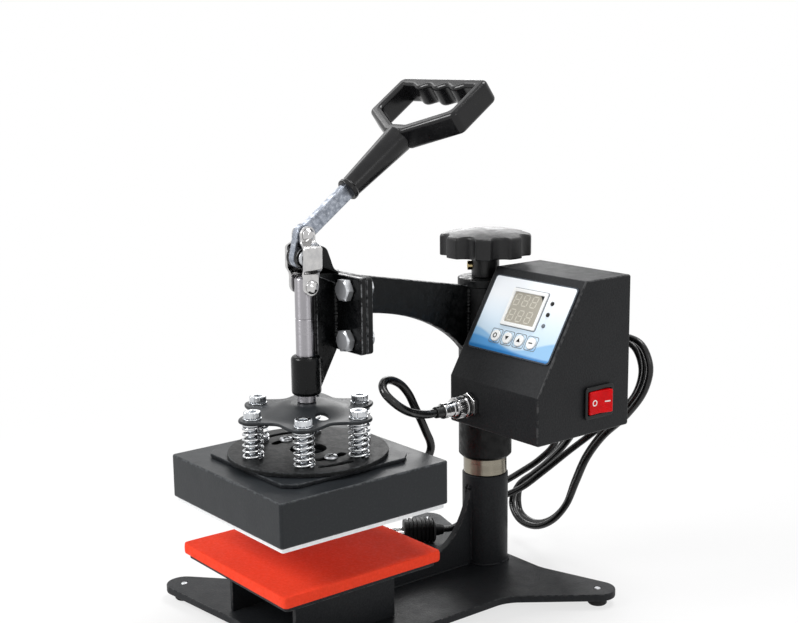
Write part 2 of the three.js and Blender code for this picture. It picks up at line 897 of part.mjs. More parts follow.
// The head bracket: flange, web, two-eared fork for the lever and the plunger's guide sleeve.
function headBracket() {
  const rear = flangeFace - clearance / 2;
  const front = rear - headFlangeThickness;
  const rodBack = -headReach + plungerRadius + 4 * clearance;
  const sleeveBack = -headReach + sleeveRadius - clearance;
  const web = outline([
    [front + overrun / 2, webBottom],
    [front + overrun / 2, webTop],
    [forkShoulder.y, webTop],
    [rodBack, forkShoulder.z],
    [rodBack, sleeveTop - sleeveRound],
    [sleeveBack, sleeveTop - sleeveRound],
    [sleeveBack, sleeveBottom + sleeveRound],
    [front, webBottom],
  ]);
  const earBottom = pivot.z - forkRadius;
  const earTop = earBottom + 2 * forkRadius;
  const ear = outline([
    [front + overrun / 2, earBottom - forkRadius],
    [front + overrun / 2, forkShoulder.z],
    [forkShoulder.y, forkShoulder.z, forkRadius],
    [forkShoulder.y - forkRadius, earTop, forkRadius],
    [pivot.y - forkRadius, earTop, forkRadius - weld],
    [pivot.y - forkRadius, earBottom, forkRadius - weld],
    [rodBack + clearance, earBottom],
    [rodBack + clearance, earBottom - forkRadius],
  ]);
  const sleeve = solid(
    turned([
      [0, sleeveBottom],
      [sleeveRadius - sleeveRound, sleeveBottom],
      [sleeveRadius - sleeveRound / 3, sleeveBottom + sleeveRound / 3],
      [sleeveRadius, sleeveBottom + sleeveRound],
      [sleeveRadius, sleeveTop - sleeveRound],
      [sleeveRadius - sleeveRound / 3, sleeveTop - sleeveRound / 3],
      [sleeveRadius - sleeveRound, sleeveTop],
      [0, sleeveTop],
    ]).translate(0, -headReach, 0),
  );
  const slot = block(
    -forkGap / 2,
    forkGap / 2,
    pivot.y - forkRadius - overrun,
    forkThroat,
    earBottom - overrun,
    earTop + overrun,
  );
  const bore = rod(plungerRadius + clearance, sleeveBottom - overrun, sleeveTop + overrun, {
    y: -headReach,
  });
  const pinHole = crossTurned(rodProfile(pinRadius + clearance, -forkWidth, forkWidth), pivot);
  const body = joined(
    flange(front, rear),
    sideSlab(web, -webThickness / 2, webThickness / 2),
    sideSlab(ear, -forkWidth / 2, forkWidth / 2),
    sleeve,
  );
  return cut(body, slot, bore, pinHole);
}

// A hexagon bolt with its nut, through both flanges.
function flangeBolt({ x, z }) {
  const headBack = flangeFace - clearance / 2 - headFlangeThickness - clearance;
  const nutFront = flangeFace + clearance / 2 + armFlangeThickness + clearance;
  const tail = nutFront + nutHeight + boltTail;
  const head = frontSlab(hexagon(boltHeadWidth, x, z), headBack - boltHeadHeight, headBack);
  const nut = frontSlab(hexagon(boltHeadWidth, x, z), nutFront, nutFront + nutHeight);
  const shank = frontTurned(rodProfile(boltRadius, -tail, -headBack + overrun), x, z);
  return joined(head, shank, nut);
}

// A pin along X with a round head at each end.
function headedPin(at, radius, halfLength, headRadius, headHeight) {
  const end = halfLength + headHeight;
  return crossTurned(
    [
      [0, -end],
      [headRadius - headHeight / 2, -end],
      [headRadius, -end + headHeight / 2],
      [headRadius, -halfLength],
      [radius, -halfLength],
      [radius, halfLength],
      [headRadius, halfLength],
      [headRadius, end - headHeight / 2],
      [headRadius - headHeight / 2, end],
      [0, end],
    ],
    at,
  );
}

// A point of the lever's plane, by its distance along the handle and its offset from the handle's line.
function onHandle(along, offset = 0) {
  return {
    y: crankPin.y + along * cos(leverAngle) - offset * sin(leverAngle),
    z: crankPin.z + along * sin(leverAngle) + offset * cos(leverAngle),
  };
}

function leverBar() {
  const half = leverThickness / 2;
  const boss = strap(pivot, crankPin, leverBossRadius, -half, half);
  const bar = strap(crankPin, onHandle(gripStart + gripSocketDepth / 2), leverWidth / 2, -half, half);
  const pinHole = crossTurned(rodProfile(pinRadius + clearance, -forkWidth, forkWidth), pivot);
  const rivetHole = crossTurned(rodProfile(rivetRadius + clearance, -forkWidth, forkWidth), crankPin);
  return cut(joined(boss, bar), pinHole, rivetHole);
}

// The ring in its own plane: x across the press, y along the handle. Its window has finger notches.
function ringShape() {
  const corners = [
    [-ringNeckHalfWidth, ringNeck],
    [ringNeckHalfWidth, ringNeck],
    [ringHalfWidth, ringShoulder],
    [ringHalfWidth, ringEnd],
    [-ringHalfWidth, ringEnd],
    [-ringHalfWidth, ringShoulder],
  ];
  const rounded = corners.map(([x, y], i) => [x, y, i < 2 ? 0 : ringCorner]);
  const [neckLeft, neckRight, low, high, , lowLeft] = insetBy(corners, ringBar);
  const steps = fingerNotches * fingerNotchSteps;
  const notches = Array.from({ length: steps + 1 }, (unused, k) => {
    const wave = abs(sin((PI * fingerNotches * k) / steps));
    return [high[0] * (1 - (2 * k) / steps), high[1] - fingerNotchDepth * (1 - wave)];
  });
  const window = [neckLeft, neckRight, [...low, ringCorner], ...notches, [...lowLeft, ringCorner]];
  const shape = outline(rounded);
  shape.holes.push(new THREE.Path(outline(window).getPoints()));
  return shape;
}

function handleGrip() {
  const ring = planSlab(ringShape(), -ringDepth / 2, ringDepth / 2, ringBevel);
  const neckEnd = ringNeck + ringBar;
  const sleeve = solid(
    turned(
      [
        [0, gripStart],
        [gripLowRadius - ringBevel, gripStart],
        [gripLowRadius, gripStart + ringBevel],
        [gripHighRadius, ringNeck],
        [gripHighRadius - ringBevel, neckEnd],
        [0, neckEnd],
      ],
      smallSides,
    ).rotateX(-PI / 2),
  );
  const gap = 2 * clearance;
  const bar = block(
    -(leverThickness + gap) / 2,
    (leverThickness + gap) / 2,
    gripStart - overrun,
    gripStart + gripSocketDepth / 2 + leverWidth / 2 + clearance,
    -(leverWidth + gap) / 2,
    (leverWidth + gap) / 2,
  );
  const along = new THREE.Vector3(0, cos(leverAngle), sin(leverAngle));
  const normal = new THREE.Vector3().crossVectors(axisX, along);
  const frame = new THREE.Matrix4().makeBasis(axisX, along, normal);
  frame.setPosition(0, crankPin.y, crankPin.z);
  return cut(joined(ring, sleeve), bar).transform(frame.elements);
}

// One joggled link plate. It stands off the fork at mid length and comes in at both ends.
function linkPlate(side) {
  const lean = atan2(lowPin.y - crankPin.y, crankPin.z - lowPin.z);
  const highFace = forkGap / 2;
  const lowFace = plungerRadius + clearance;
  const inner = [
    [lowFace, -linkEndRadius - overrun],
    [lowFace, linkLowStep.from],
    [linkBow, linkLowStep.to],
    [linkBow, linkLength - linkHighStep.to],
    [highFace, linkLength - linkHighStep.from],
    [highFace, linkLength + linkEndRadius + overrun],
  ];
  const outer = inner.map(([x, z]) => [x + linkThickness, z]).reverse();
  const section = outline([...inner, ...outer].map(([x, z]) => [side * x, z]));
  const bent = frontSlab(section, -linkWaistRadius - overrun, linkWaistRadius + overrun);
  const reach = linkBow + linkThickness + overrun;
  const low = { y: 0, z: 0 };
  const high = { y: 0, z: linkLength };
  const ends = strap(low, high, linkEndRadius, -reach, reach);
  const waistLow = { y: 0, z: linkWaistInset };
  const waistHigh = { y: 0, z: linkLength - linkWaistInset };
  const middle = strap(waistLow, waistHigh, linkWaistRadius, -reach, reach);
  const rivetHole = crossTurned(rodProfile(rivetRadius + clearance, -reach, reach), high);
  const face = lowFace + linkThickness;
  const head = [
    [0, face - clearance],
    [rivetHeadRadius, face - clearance],
    [rivetHeadRadius, face + rivetHeadHeight / 2],
    [rivetHeadRadius / 2, face + rivetHeadHeight],
    [0, face + rivetHeadHeight],
  ];
  const rivet = crossTurned(head.map(([radius, x]) => [radius, side * x]), low);
  const plate = joined(cut(bent.intersect(joined(ends, middle)), rivetHole), rivet);
  const frame = new THREE.Matrix4().makeRotationX(lean).setPosition(0, lowPin.y, lowPin.z);
  return plate.transform(frame.elements);
}

function plungerRod() {
  const shoulder = springPlateTop + springPlateDome + clearance;
  const top = lowPin.z + plungerCrown;
  return solid(
    turned([
      [0, springPlateBottom],
      [plungerTailRadius, springPlateBottom],
      [plungerTailRadius, shoulder],
      [plungerRadius, shoulder],
      [plungerRadius, top - plungerChamfer],
      [plungerRadius - plungerChamfer, top],
      [0, top],
    ]).translate(0, -headReach, 0),
  );
}

function springPlaces() {
  return Array.from({ length: springCount }, (unused, k) => {
    const angle = springTurn + (2 * PI * k) / springCount - PI / 2;
    return { x: springCircle * cos(angle), y: -headReach + springCircle * sin(angle) };
  });
}

// The six-lobed plate, pressed up to a dome in its middle.
function springPlate() {
  const rimRadius = springCircle + springPlateRim;
  const reach = rimRadius + springPlateLobe + overrun;
  const domeOuter = springCircle - domeMargin;
  const dome = Array.from({ length: domeSteps + 1 }, (unused, k) => {
    const share = k / domeSteps;
    const fall = (1 - cos(PI * share)) / 2;
    return [
      domeInner + (domeOuter - domeInner) * share,
      springPlateBottom + springPlateDome * (1 - fall),
    ];
  });
  const under = [[0, springPlateBottom + springPlateDome], ...dome, [reach, springPlateBottom]];
  const over = under.map(([radius, z]) => [radius, z + springPlateThickness]).reverse();
  const sheet = solid(turned([...under, ...over], 2 * smallSides).translate(0, -headReach, 0));
  const rimSteps = springCount * lobeSteps;
  const rim = Array.from({ length: rimSteps }, (unused, k) => {
    const angle = (2 * PI * k) / rimSteps;
    const lobe = springPlateLobe * cos(springCount * (angle - springTurn + PI / 2));
    const radius = rimRadius + lobe;
    return new THREE.Vector2(radius * cos(angle), -headReach + radius * sin(angle));
  });
  const low = springPlateBottom - overrun;
  const high = springPlateTop + springPlateDome + overrun;
  const lobed = planSlab(new THREE.Shape(rim), low, high);
  const holes = springPlaces().map(({ x, y }) =>
    rod(headBoltRadius + clearance, low, high, { x, y, sides: smallSides }),
  );
  const centre = rod(plungerTailRadius + clearance, low, high, { y: -headReach, sides: smallSides });
  const single = rod(plateHole.radius, low, high, {
    x: plateHole.circle * cos(plateHole.angle),
    y: -headReach + plateHole.circle * sin(plateHole.angle),
    sides: smallSides,
  });
  return cut(sheet.intersect(lobed), centre, single, ...holes);
}

// A socket-head bolt from above the spring plate down to the heater's top plate.
function headBolt({ x, y }) {
  const seat = springPlateTop + clearance;
  const top = seat + headBoltHeadHeight;
  const body = joined(
    rod(headBoltRadius, topPlateTop + clearance, seat + clearance, { x, y, sides: smallSides }),
    rod(headBoltHeadRadius, seat, top, { x, y, sides: smallSides, chamfer: clearance }),
  );
  return cut(body, planSlab(hexagon(headBoltSocket, x, y), top - headBoltSocketDepth, top + overrun));
}

class Helix extends THREE.Curve {
  constructor(x, y, low, high) {
    super();
    Object.assign(this, { x, y, low, high });
  }

  getPoint(share, target = new THREE.Vector3()) {
    const angle = 2 * PI * springTurns * share;
    return target.set(
      this.x + springRadius * cos(angle),
      this.y + springRadius * sin(angle),
      this.low + (this.high - this.low) * share,
    );
  }
}

function spring({ x, y }) {
  const low = discTop + clearance + springWire / 2;
  const high = springPlateBottom - clearance - springWire / 2;
  const path = new Helix(x, y, low, high);
  const section = new THREE.Shape(ringPoints(springWire / 2, springSides));
  const steps = springTurns * springSteps;
  return { path, solid: solid(new THREE.ExtrudeGeometry(section, { steps, extrudePath: path })) };
}

// The round plate that the bolts pass through, with a middle hole, four arc slots and two screw holes.
function mountingDisc() {
  const low = topPlateTop + clearance;
  const radius = springCircle + discRim;
  const circle = new THREE.Shape(ringPoints(radius, 2 * roundSides, 0, -headReach));
  circle.holes.push(new THREE.Path(ringPoints(discHoleRadius, smallSides, 0, -headReach)));
  for (let slot = 0; slot < slotCount; slot++) {
    circle.holes.push(new THREE.Path(arcSlot((PI * (2 * slot + 1)) / slotCount)));
  }
  for (const { x, y } of springPlaces()) {
    circle.holes.push(new THREE.Path(ringPoints(headBoltRadius + clearance, smallSides, x, y)));
  }
  return planSlab(circle, low, discTop);
}

function arcSlot(middle) {
  const circle = springCircle - slotInset;
  const walk = (radius, from, to) =>
    Array.from({ length: slotSteps + 1 }, (unused, k) => {
      const angle = middle + from + ((to - from) * k) / slotSteps;
      return new THREE.Vector2(radius * cos(angle), -headReach + radius * sin(angle));
    });
  const half = slotSweep / 2;
  return [
    ...walk(circle + slotWidth / 2, -half, half),
    ...walk(circle - slotWidth / 2, half, -half),
  ];
}

function topPlate() {
  const half = springCircle + topPlateMargin;
  const inner = half - topPlateCut;
  const corners = [
    [inner, -half],
    [half, -inner],
    [half, inner],
    [inner, half],
    [-inner, half],
    [-half, inner],
    [-half, -inner],
    [-inner, -half],
  ];
  const shape = outline(corners.map(([x, y]) => [x, y - headReach]));
  shape.holes.push(new THREE.Path(ringPoints(discHoleRadius, smallSides, 0, -headReach)));
  return planSlab(shape, coverTop + clearance, topPlateTop);
}

// The painted sheet cover, open below, with a middle hole and a gland for the lead in its back.
function heaterCover() {
  const inside = coverSide - 2 * coverWall;
  const back = -headReach + coverSide / 2;
  const shell = cut(
    squarePlate(coverSide, coverBottom, coverTop, coverCorner),
    squarePlate(inside, coverBottom - overrun, coverTop - coverWall),
    rod(coverHoleRadius, coverTop - coverWall - overrun, coverTop + overrun, { y: -headReach }),
  );
  const boss = frontTurned(
    rodProfile(leadGland.radius, -back - leadGland.length, -back + coverWall / 2),
    leadGland.x,
    coverBottom + leadGland.up,
  );
  const bore = frontTurned(
    rodProfile(heaterCableRadius + clearance, -back - leadGland.length - overrun, -back + overrun),
    leadGland.x,
    coverBottom + leadGland.up,
  );
  return cut(joined(shell, boss), bore);
}

// The heating element: a rod bent to an open ring, which lies on the heating plate.
function heatingElement() {
  const z = plateBottom + heatingPlateThickness + clearance + elementRadius;
  const points = Array.from({ length: elementPoints + 1 }, (unused, k) => {
    const angle = PI / 2 + elementGap / 2 + ((2 * PI - elementGap) * k) / elementPoints;
    return [elementCircle * cos(angle), -headReach + elementCircle * sin(angle), z];
  });
  return cordSolid(points, elementRadius, elementSides, elementSteps).solid;
}

// The control box as seen from its right side.
const boxProfile = [
  [boxFront, boxBottom],
  [boxBack, boxBottom],
  [boxBack, boxTop],
  [boxRidge, boxTop],
  [boxFront, boxBrow],
];

function boxShell() {
  const outer = sideSlab(outline(boxProfile), boxLeft, boxRight);
  const inside = outline(insetBy(boxProfile, boxWall));
  const inner = sideSlab(inside, boxLeft + boxWall, boxRight - boxWall);
  const back = block(
    boxLeft + boxWall,
    boxRight - boxWall,
    boxBack - 2 * boxWall,
    boxBack + overrun,
    boxBottom + boxWall,
    boxTop - boxWall,
  );
  const { left, right, top, bottom } = panelWindow;
  const window = onPanel(
    planSlab(rectangle(left, -bottom, right, -top), -boxWall - overrun, overrun),
  );
  const socketHole = frontTurned(
    rodProfile(socket.thread + clearance, -boxFront - boxWall - overrun, -boxFront + overrun),
    socketX,
    socketZ,
  );
  const halfLength = switchLength / 2 - switchBodyInset + clearance;
  const halfHeight = switchHeight / 2 - switchBodyInset + clearance;
  const switchHole = block(
    boxRight - boxWall - overrun,
    boxRight + overrun,
    switchY - halfLength,
    switchY + halfLength,
    switchZ - halfHeight,
    switchZ + halfHeight,
  );
  return cut(outer, inner, back, window, socketHole, switchHole);
}

function boxBackCover() {
  const inset = boxWall + clearance;
  const plate = block(
    boxLeft + inset,
    boxRight - inset,
    boxBack - boxWall,
    boxBack,
    boxBottom + inset,
    boxTop - inset,
  );
  const hole = frontTurned(
    rodProfile(gland.radius - clearance, -boxBack - overrun, -boxBack + boxWall + overrun),
    glandX,
    glandZ,
  );
  return cut(plate, hole);
}

// Moves a solid drawn on the sloping panel to its place: x across, y up the slope, z out of it.
function onPanel(body) {
  const frame = new THREE.Matrix4().makeRotationX(panelAngle).setPosition(0, boxRidge, boxTop);
  return body.transform(frame.elements);
}

function panelLabel() {
  const shape = rectangle(labelLeft, -labelBottom, labelRight, -labelTop, labelCorner);
  for (const x of buttonColumns()) {
    shape.holes.push(new THREE.Path(ringPoints(buttonRadius + clearance, smallSides, x, -buttonRow)));
  }
  return onPanel(planSlab(shape, clearance, clearance + labelThickness));
}

function buttonColumns() {
  return Array.from({ length: buttonCount }, (unused, k) => panelWindow.left + buttonStart + buttonPitch * k);
}

function button(x) {
  const low = -boardDepth + clearance + buttonTravel;
  const high = clearance + labelThickness + buttonProud;
  return onPanel(
    rod(buttonRadius, low, high, { x, y: -buttonRow, sides: smallSides, chamfer: clearance }),
  );
}

// The circuit board behind the panel, with four posts that reach the inside of the box's slope.
function controlBoard() {
  const left = panelWindow.left - boardMargin;
  const right = panelWindow.right + boardMargin;
  const top = panelWindow.top - boardMargin / 2;
  const bottom = panelWindow.bottom;
  const plate = planSlab(rectangle(left, -bottom, right, -top), -boardDepth - boardThickness, -boardDepth);
  const posts = [];
  for (const x of [left + standoffRadius, right - standoffRadius]) {
    for (const y of [-top - standoffRadius, -bottom + standoffRadius]) {
      posts.push(rod(standoffRadius, -boardDepth - clearance, -boxWall - clearance, {
        x,
        y,
        sides: smallSides,
      }));
    }
  }
  return onPanel(joined(plate, ...posts));
}

function cableSocket() {
  const face = -boxFront;
  const nutFace = face + clearance;
  const inside = face - boxWall - clearance;
  const barrel = frontTurned(
    rodProfile(socket.thread, inside - socket.tail, face + socket.reach),
    socketX,
    socketZ,
  );
  const shape = hexagon(socket.nut, socketX, socketZ);
  const nut = frontSlab(shape, -nutFace - socket.nutHeight, -nutFace);
  const lockNut = frontSlab(shape, -inside, -inside + socket.nutHeight);
  return joined(barrel, nut, lockNut);
}

function plugStart() {
  return -boxFront + clearance + socket.nutHeight + clearance;
}

// The round metal plug on the heater's lead, screwed over the socket's barrel.
function cablePlug() {
  const start = plugStart();
  const ringEndAt = start + plugRing.length;
  const bodyEnd = ringEndAt + plugBody.length;
  const tailEnd = bodyEnd + plugTail.length;
  const bore = socket.thread + clearance;
  const boreEnd = -boxFront + socket.reach + clearance;
  return frontTurned(
    [
      [bore, start],
      [plugRing.radius, start],
      [plugRing.radius, ringEndAt],
      [plugBody.radius, ringEndAt + clearance],
      [plugBody.radius, bodyEnd],
      [plugTail.radius, bodyEnd],
      [plugTail.radius, tailEnd],
      [0, tailEnd],
      [0, boreEnd],
      [bore, boreEnd],
      [bore, start],
    ],
    socketX,
    socketZ,
  );
}

function heaterCable() {
  const out = plugStart() + plugRing.length + plugBody.length + plugTail.length + clearance;
  const start = [socketX, -out, socketZ];
  const end = [
    leadGland.x,
    -headReach + coverSide / 2 + leadGland.length + clearance,
    coverBottom + leadGland.up,
  ];
  const route = [start, ...heaterCableRoute, end];
  return cordSolid(route, heaterCableRadius, heaterCableSides, heaterCableSteps);
}

function rockerReach() {
  return hypot(rockerLength / 2, rockerRise + (rockerLength / 2) * tan(rockerAngle));
}

// The switch's housing: a bezel on the box's side and a body inside it, with the rocker's pocket.
function switchHousing() {
  const face = boxRight + clearance;
  const halfLength = switchLength / 2;
  const halfHeight = switchHeight / 2;
  const bezel = block(
    face,
    face + switchBezel,
    switchY - halfLength,
    switchY + halfLength,
    switchZ - halfHeight,
    switchZ + halfHeight,
  );
  const body = block(
    face - switchBodyDepth,
    face + clearance,
    switchY - halfLength + switchBodyInset,
    switchY + halfLength - switchBodyInset,
    switchZ - halfHeight + switchBodyInset,
    switchZ + halfHeight - switchBodyInset,
  );
  const pocketReach = rockerReach() + clearance;
  const pocket = block(
    face + switchBezel - rockerReach() - clearance,
    face + switchBezel + overrun,
    switchY - pocketReach,
    switchY + pocketReach,
    switchZ - rockerHeight / 2 - clearance,
    switchZ + rockerHeight / 2 + clearance,
  );
  return cut(joined(bezel, body), pocket);
}

// The rocker, at rest with its front half pressed in. It tips about a vertical axis in the bezel's plane.
function rocker() {
  const half = rockerLength / 2;
  const belly = half - 2 * clearance;
  const face = boxRight + clearance + switchBezel;
  const end = rockerRise + half * tan(rockerAngle);
  const under = Array.from({ length: rockerSteps + 1 }, (unused, k) => {
    const angle = PI + (PI * k) / rockerSteps;
    return [belly * cos(angle), min(0, (rockerDepth / half) * belly * sin(angle))];
  });
  const shape = outline([[half, end], [0, rockerRise], [-half, end], ...under]);
  const drawn = planSlab(shape, -rockerHeight / 2, rockerHeight / 2);
  const frame = new THREE.Matrix4().makeRotationZ(-PI / 2 - rockerAngle);
  frame.setPosition(face, switchY, switchZ);
  return drawn.transform(frame.elements);
}

// The gland that holds the power cord in the box's back cover.
function cordGland() {
  const face = boxBack + clearance;
  const bore = powerCordRadius + clearance;
  const inside = boxBack - boxWall - clearance;
  const profile = [
    [bore, inside - gland.nut],
    [gland.radius - 2 * clearance, inside - gland.nut],
    [gland.radius - 2 * clearance, face],
    [gland.radius + gland.nut / 2, face],
    [gland.radius + gland.nut / 2, face + gland.nut],
    [gland.radius - gland.nut / 2, face + gland.length],
    [bore, face + gland.length],
    [bore, inside - gland.nut],
  ];
  const mirrored = profile.map(([radius, y]) => [radius, -y]);
  return frontTurned(mirrored, glandX, glandZ);
}

function powerCord() {
  const start = [glandX, boxBack + 2 * clearance + gland.length, glandZ];
  const { x, y, heading, neckLength } = powerPlug;
  const back = neckLength + clearance;
  const end = [x - back * cos(heading), y - back * sin(heading), plugHeight];
  const route = [start, ...powerCordRoute, end];
  return cordSolid(route, powerCordRadius, powerCordSides, powerCordSteps);
}

// The mains plug with its ribbed grip and two round pins, drawn along +X and laid on the base.
function plug() {
  const { heading, length, width, height, corner, neck, neckLength } = powerPlug;
  const { ribs, ribDepth } = powerPlug;
  const section = (reach) =>
    rectangle(-width / 2 + reach, -height / 2 + reach, width / 2 - reach, height / 2 - reach, corner);
  const alongX = new THREE.Matrix4().makeBasis(axisY, axisZ, axisX);
  const bar = (reach, from, to) => solid(slab(section(reach), from, to).applyMatrix4(alongX));
  const pitch = length / (2 * ribs + 1);
  const body = [bar(ribDepth, 0, length)];
  for (let k = 0; k <= ribs; k++) {
    body.push(bar(0, 2 * k * pitch, (2 * k + 1) * pitch));
  }
  body.push(solid(turned(rodProfile(neck, -neckLength, overrun), smallSides).rotateY(PI / 2)));
  for (const side of [-1, 1]) {
    const pin = turned(
      rodProfile(powerPlug.pinRadius, length - overrun, length + powerPlug.pinLength, clearance),
      smallSides,
    );
    body.push(solid(pin.rotateY(PI / 2).translate(0, (side * powerPlug.pinPitch) / 2, 0)));
  }
  const frame = new THREE.Matrix4().makeRotationZ(heading);
  frame.setPosition(powerPlug.x, powerPlug.y, plugHeight);
  return joined(...body).transform(frame.elements);
}

// The scalloped knob on its stem, bored for the screw's head end.
function knob() {
  const low = collarTop + clearance;
  const rimLow = low + knobStemHeight;
  const rimHigh = rimLow + knobRim;
  const crownShare = 0.75;
  const body = solid(
    turned([
      [0, low],
      [knobStemRadius, low],
      [knobStemRadius, rimLow],
      [knobRadius, rimLow],
      [knobRadius, rimHigh - knobDome],
      [knobRadius - knobDome / 2, rimHigh - knobDome / 3],
      [knobCrownRadius, rimHigh],
      [knobCrownRadius / 2, rimHigh + knobDome * crownShare],
      [0, rimHigh + knobDome],
    ]),
  );
  const reach = knobRadius + knobNotchRadius - knobNotchDepth;
  const notches = Array.from({ length: knobLobes }, (unused, k) => {
    const angle = (2 * PI * (k + 1 / 2)) / knobLobes;
    return rod(knobNotchRadius, rimLow - overrun, rimHigh + 2 * knobDome, {
      x: reach * cos(angle),
      y: reach * sin(angle),
      sides: smallSides,
    });
  });
  const bore = rod(screwRadius + clearance, low - overrun, rimLow, { sides: smallSides });
  return cut(body, bore, ...notches);
}

function adjustingScrew() {
  const top = collarTop + knobStemHeight;
  return rod(screwRadius, capBottom - screwReach, top, {
    sides: smallSides,
    chamfer: screwChamfer,
  });
}

// Assembly: base and column
piece("base_plate", basePlate(), "black");
for (const leg of legs()) piece("foot_" + leg.name, foot(leg), "rubber");
piece("column", column(), "black");
piece("inner_post", post(), "steel");
piece("pedestal", pedestal(), "black");
piece("platen_table", squarePlate(tableSide, pedestalTop + clearance, tableTop, padCorner), "black");
piece("press_pad", squarePlate(padSide, tableTop + clearance, padTop, padCorner), "silicone");

// Assembly: the arm that swings and lifts, and its screw
piece("thrust_washer", washer(), "steel");
piece("swing_arm", swingArm(), "black");
piece("head_bracket", headBracket(), "black");
boltPlaces().forEach((place, k) => piece("flange_bolt_" + (k + 1), flangeBolt(place), "zinc"));
piece("knob", knob(), "plastic");
piece("adjusting_screw", adjustingScrew(), "steel");

// Assembly: the toggle
const forkPinHalf = forkWidth / 2 + clearance;
piece("pivot_pin", headedPin(pivot, pinRadius, forkPinHalf, pinHeadRadius, pinHeadHeight), "zinc");
piece("lever_bar", leverBar(), "zinc");
piece("handle_grip", handleGrip(), "plastic");
const leverRivetHalf = forkGap / 2 + linkThickness + clearance;
piece(
  "lever_rivet",
  headedPin(crankPin, rivetRadius, leverRivetHalf, rivetHeadRadius, rivetHeadHeight),
  "zinc",
);
piece("link_plate_left", linkPlate(-1), "zinc");
piece("link_plate_right", linkPlate(1), "zinc");
piece("plunger_rod", plungerRod(), "steel");
piece("spring_plate", springPlate(), "black");

// Assembly: the sprung heater
const springs = springPlaces().map(spring);
springs.forEach((made, k) => piece("spring_" + (k + 1), made.solid, "steel"));
springPlaces().forEach((place, k) => piece("head_bolt_" + (k + 1), headBolt(place), "zinc"));
piece("mounting_disc", mountingDisc(), "black");
piece("heater_top_plate", topPlate(), "black");
piece("heater_cover", heaterCover(), "black");
const heatingPlateSide = coverSide - 2 * coverWall - 2 * clearance;
piece(
  "heating_plate",
  squarePlate(heatingPlateSide, plateBottom, plateBottom + heatingPlateThickness),
  "aluminium",
);
piece("heating_element", heatingElement(), "steel");

// Assembly: the control box and its cords
piece("box_shell", boxShell(), "black");
piece("box_back_cover", boxBackCover(), "black");
piece("control_board", controlBoard(), "board");
piece("panel_label", panelLabel(), "label");
buttonColumns().forEach((x, k) => piece("button_" + (k + 1), button(x), "ivory"));
piece("switch_housing", switchHousing(), "plastic");
piece("rocker", rocker(), "red");
piece("cable_socket", cableSocket(), "steel");
const heaterLead = heaterCable();
const mainsCord = powerCord();
const cordPieces = [
  piece("cable_plug", cablePlug(), "steel"),
  piece("heater_cable", heaterLead.solid, "rubber"),
  piece("power_cord", mainsCord.solid, "rubber"),
  piece("power_plug", plug(), "rubber"),
];
piece("cord_gland", cordGland(), "rubber");

// The origin is under the middle of everything but the free cords, on the surface that the feet stand on
const extent = new THREE.Box3();
for (const made of machine.children) {
  if (!cordPieces.includes(made)) extent.expandByObject(made);
}
const middle = extent.getCenter(new THREE.Vector3());
machine.position.set(-middle.x, -middle.y, 0);

const gapPoints = 400;
const springGap = leastGap(springs[0].path, springWire / 2, gapPoints);
const cordGap = leastGap(mainsCord.path, powerCordRadius, gapPoints);
const leadGap = leastGap(heaterLead.path, heaterCableRadius, gapPoints);
const millimetres = (value) => value.toFixed(1) + " mm";
console.log("spring: least gap to itself " + millimetres(springGap));
console.log("power cord: length " + millimetres(mainsCord.path.getLength()));
console.log("power cord: least gap to itself " + millimetres(cordGap));
console.log("heater cable: length " + millimetres(heaterLead.path.getLength()));
console.log("heater cable: least gap to itself " + millimetres(leadGap));
console.log("plunger travel " + millimetres(plungerTravel));
console.log("column axis " + millimetres(-middle.y) + " behind the origin");

export default machine;
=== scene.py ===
from collections import namedtuple
from math import acos, asin, atan2, cos, hypot, pi, radians, sin, sqrt, tan

import bmesh
import bpy
from bpy.props import FloatProperty, FloatVectorProperty, IntProperty, PointerProperty
from bpy.types import Operator, Panel, PropertyGroup
from mathutils import Matrix, Vector, noise


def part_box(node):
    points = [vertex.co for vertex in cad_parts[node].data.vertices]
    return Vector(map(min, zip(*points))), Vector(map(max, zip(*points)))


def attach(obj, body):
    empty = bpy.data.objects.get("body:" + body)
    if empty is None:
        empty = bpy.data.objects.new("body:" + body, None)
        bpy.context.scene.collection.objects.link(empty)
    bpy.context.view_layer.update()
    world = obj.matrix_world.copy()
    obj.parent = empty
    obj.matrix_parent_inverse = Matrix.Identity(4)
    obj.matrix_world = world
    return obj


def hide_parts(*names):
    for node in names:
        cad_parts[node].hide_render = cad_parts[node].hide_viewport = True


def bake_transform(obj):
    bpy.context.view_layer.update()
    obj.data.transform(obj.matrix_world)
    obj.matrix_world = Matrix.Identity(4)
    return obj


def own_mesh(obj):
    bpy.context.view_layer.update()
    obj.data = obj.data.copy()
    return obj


bl_info = {
    "name": "Swing-away heat press",
    "version": (1, 0, 0),
    "blender": (4, 5, 0),
    "location": "3D View > Sidebar > Heat press",
    "description": "Builds the shapes and finishes of a small swing-away heat press on its CAD frame",
    "category": "Add Mesh",
}

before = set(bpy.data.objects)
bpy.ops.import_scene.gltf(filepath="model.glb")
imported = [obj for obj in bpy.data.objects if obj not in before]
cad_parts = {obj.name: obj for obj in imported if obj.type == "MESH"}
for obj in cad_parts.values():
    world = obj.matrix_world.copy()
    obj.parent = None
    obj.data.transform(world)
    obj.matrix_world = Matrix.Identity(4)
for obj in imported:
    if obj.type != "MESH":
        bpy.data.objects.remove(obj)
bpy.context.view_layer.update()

# Every shape is drawn in millimetres from the column's axis, which stands this far behind the part's origin
MM = 1000
post_low, post_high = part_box("inner_post")
column_y = (post_low.y + post_high.y) / 2 * MM

Extent = namedtuple("Extent", "left front low right back top x y z")
Pattern = namedtuple("Pattern", "socket texture size low high stretch", defaults=((1, 1, 1),))

# Inputs of the node that mixes two colours, which share their names with its other inputs
FIRST_COLOUR, SECOND_COLOUR = 6, 7


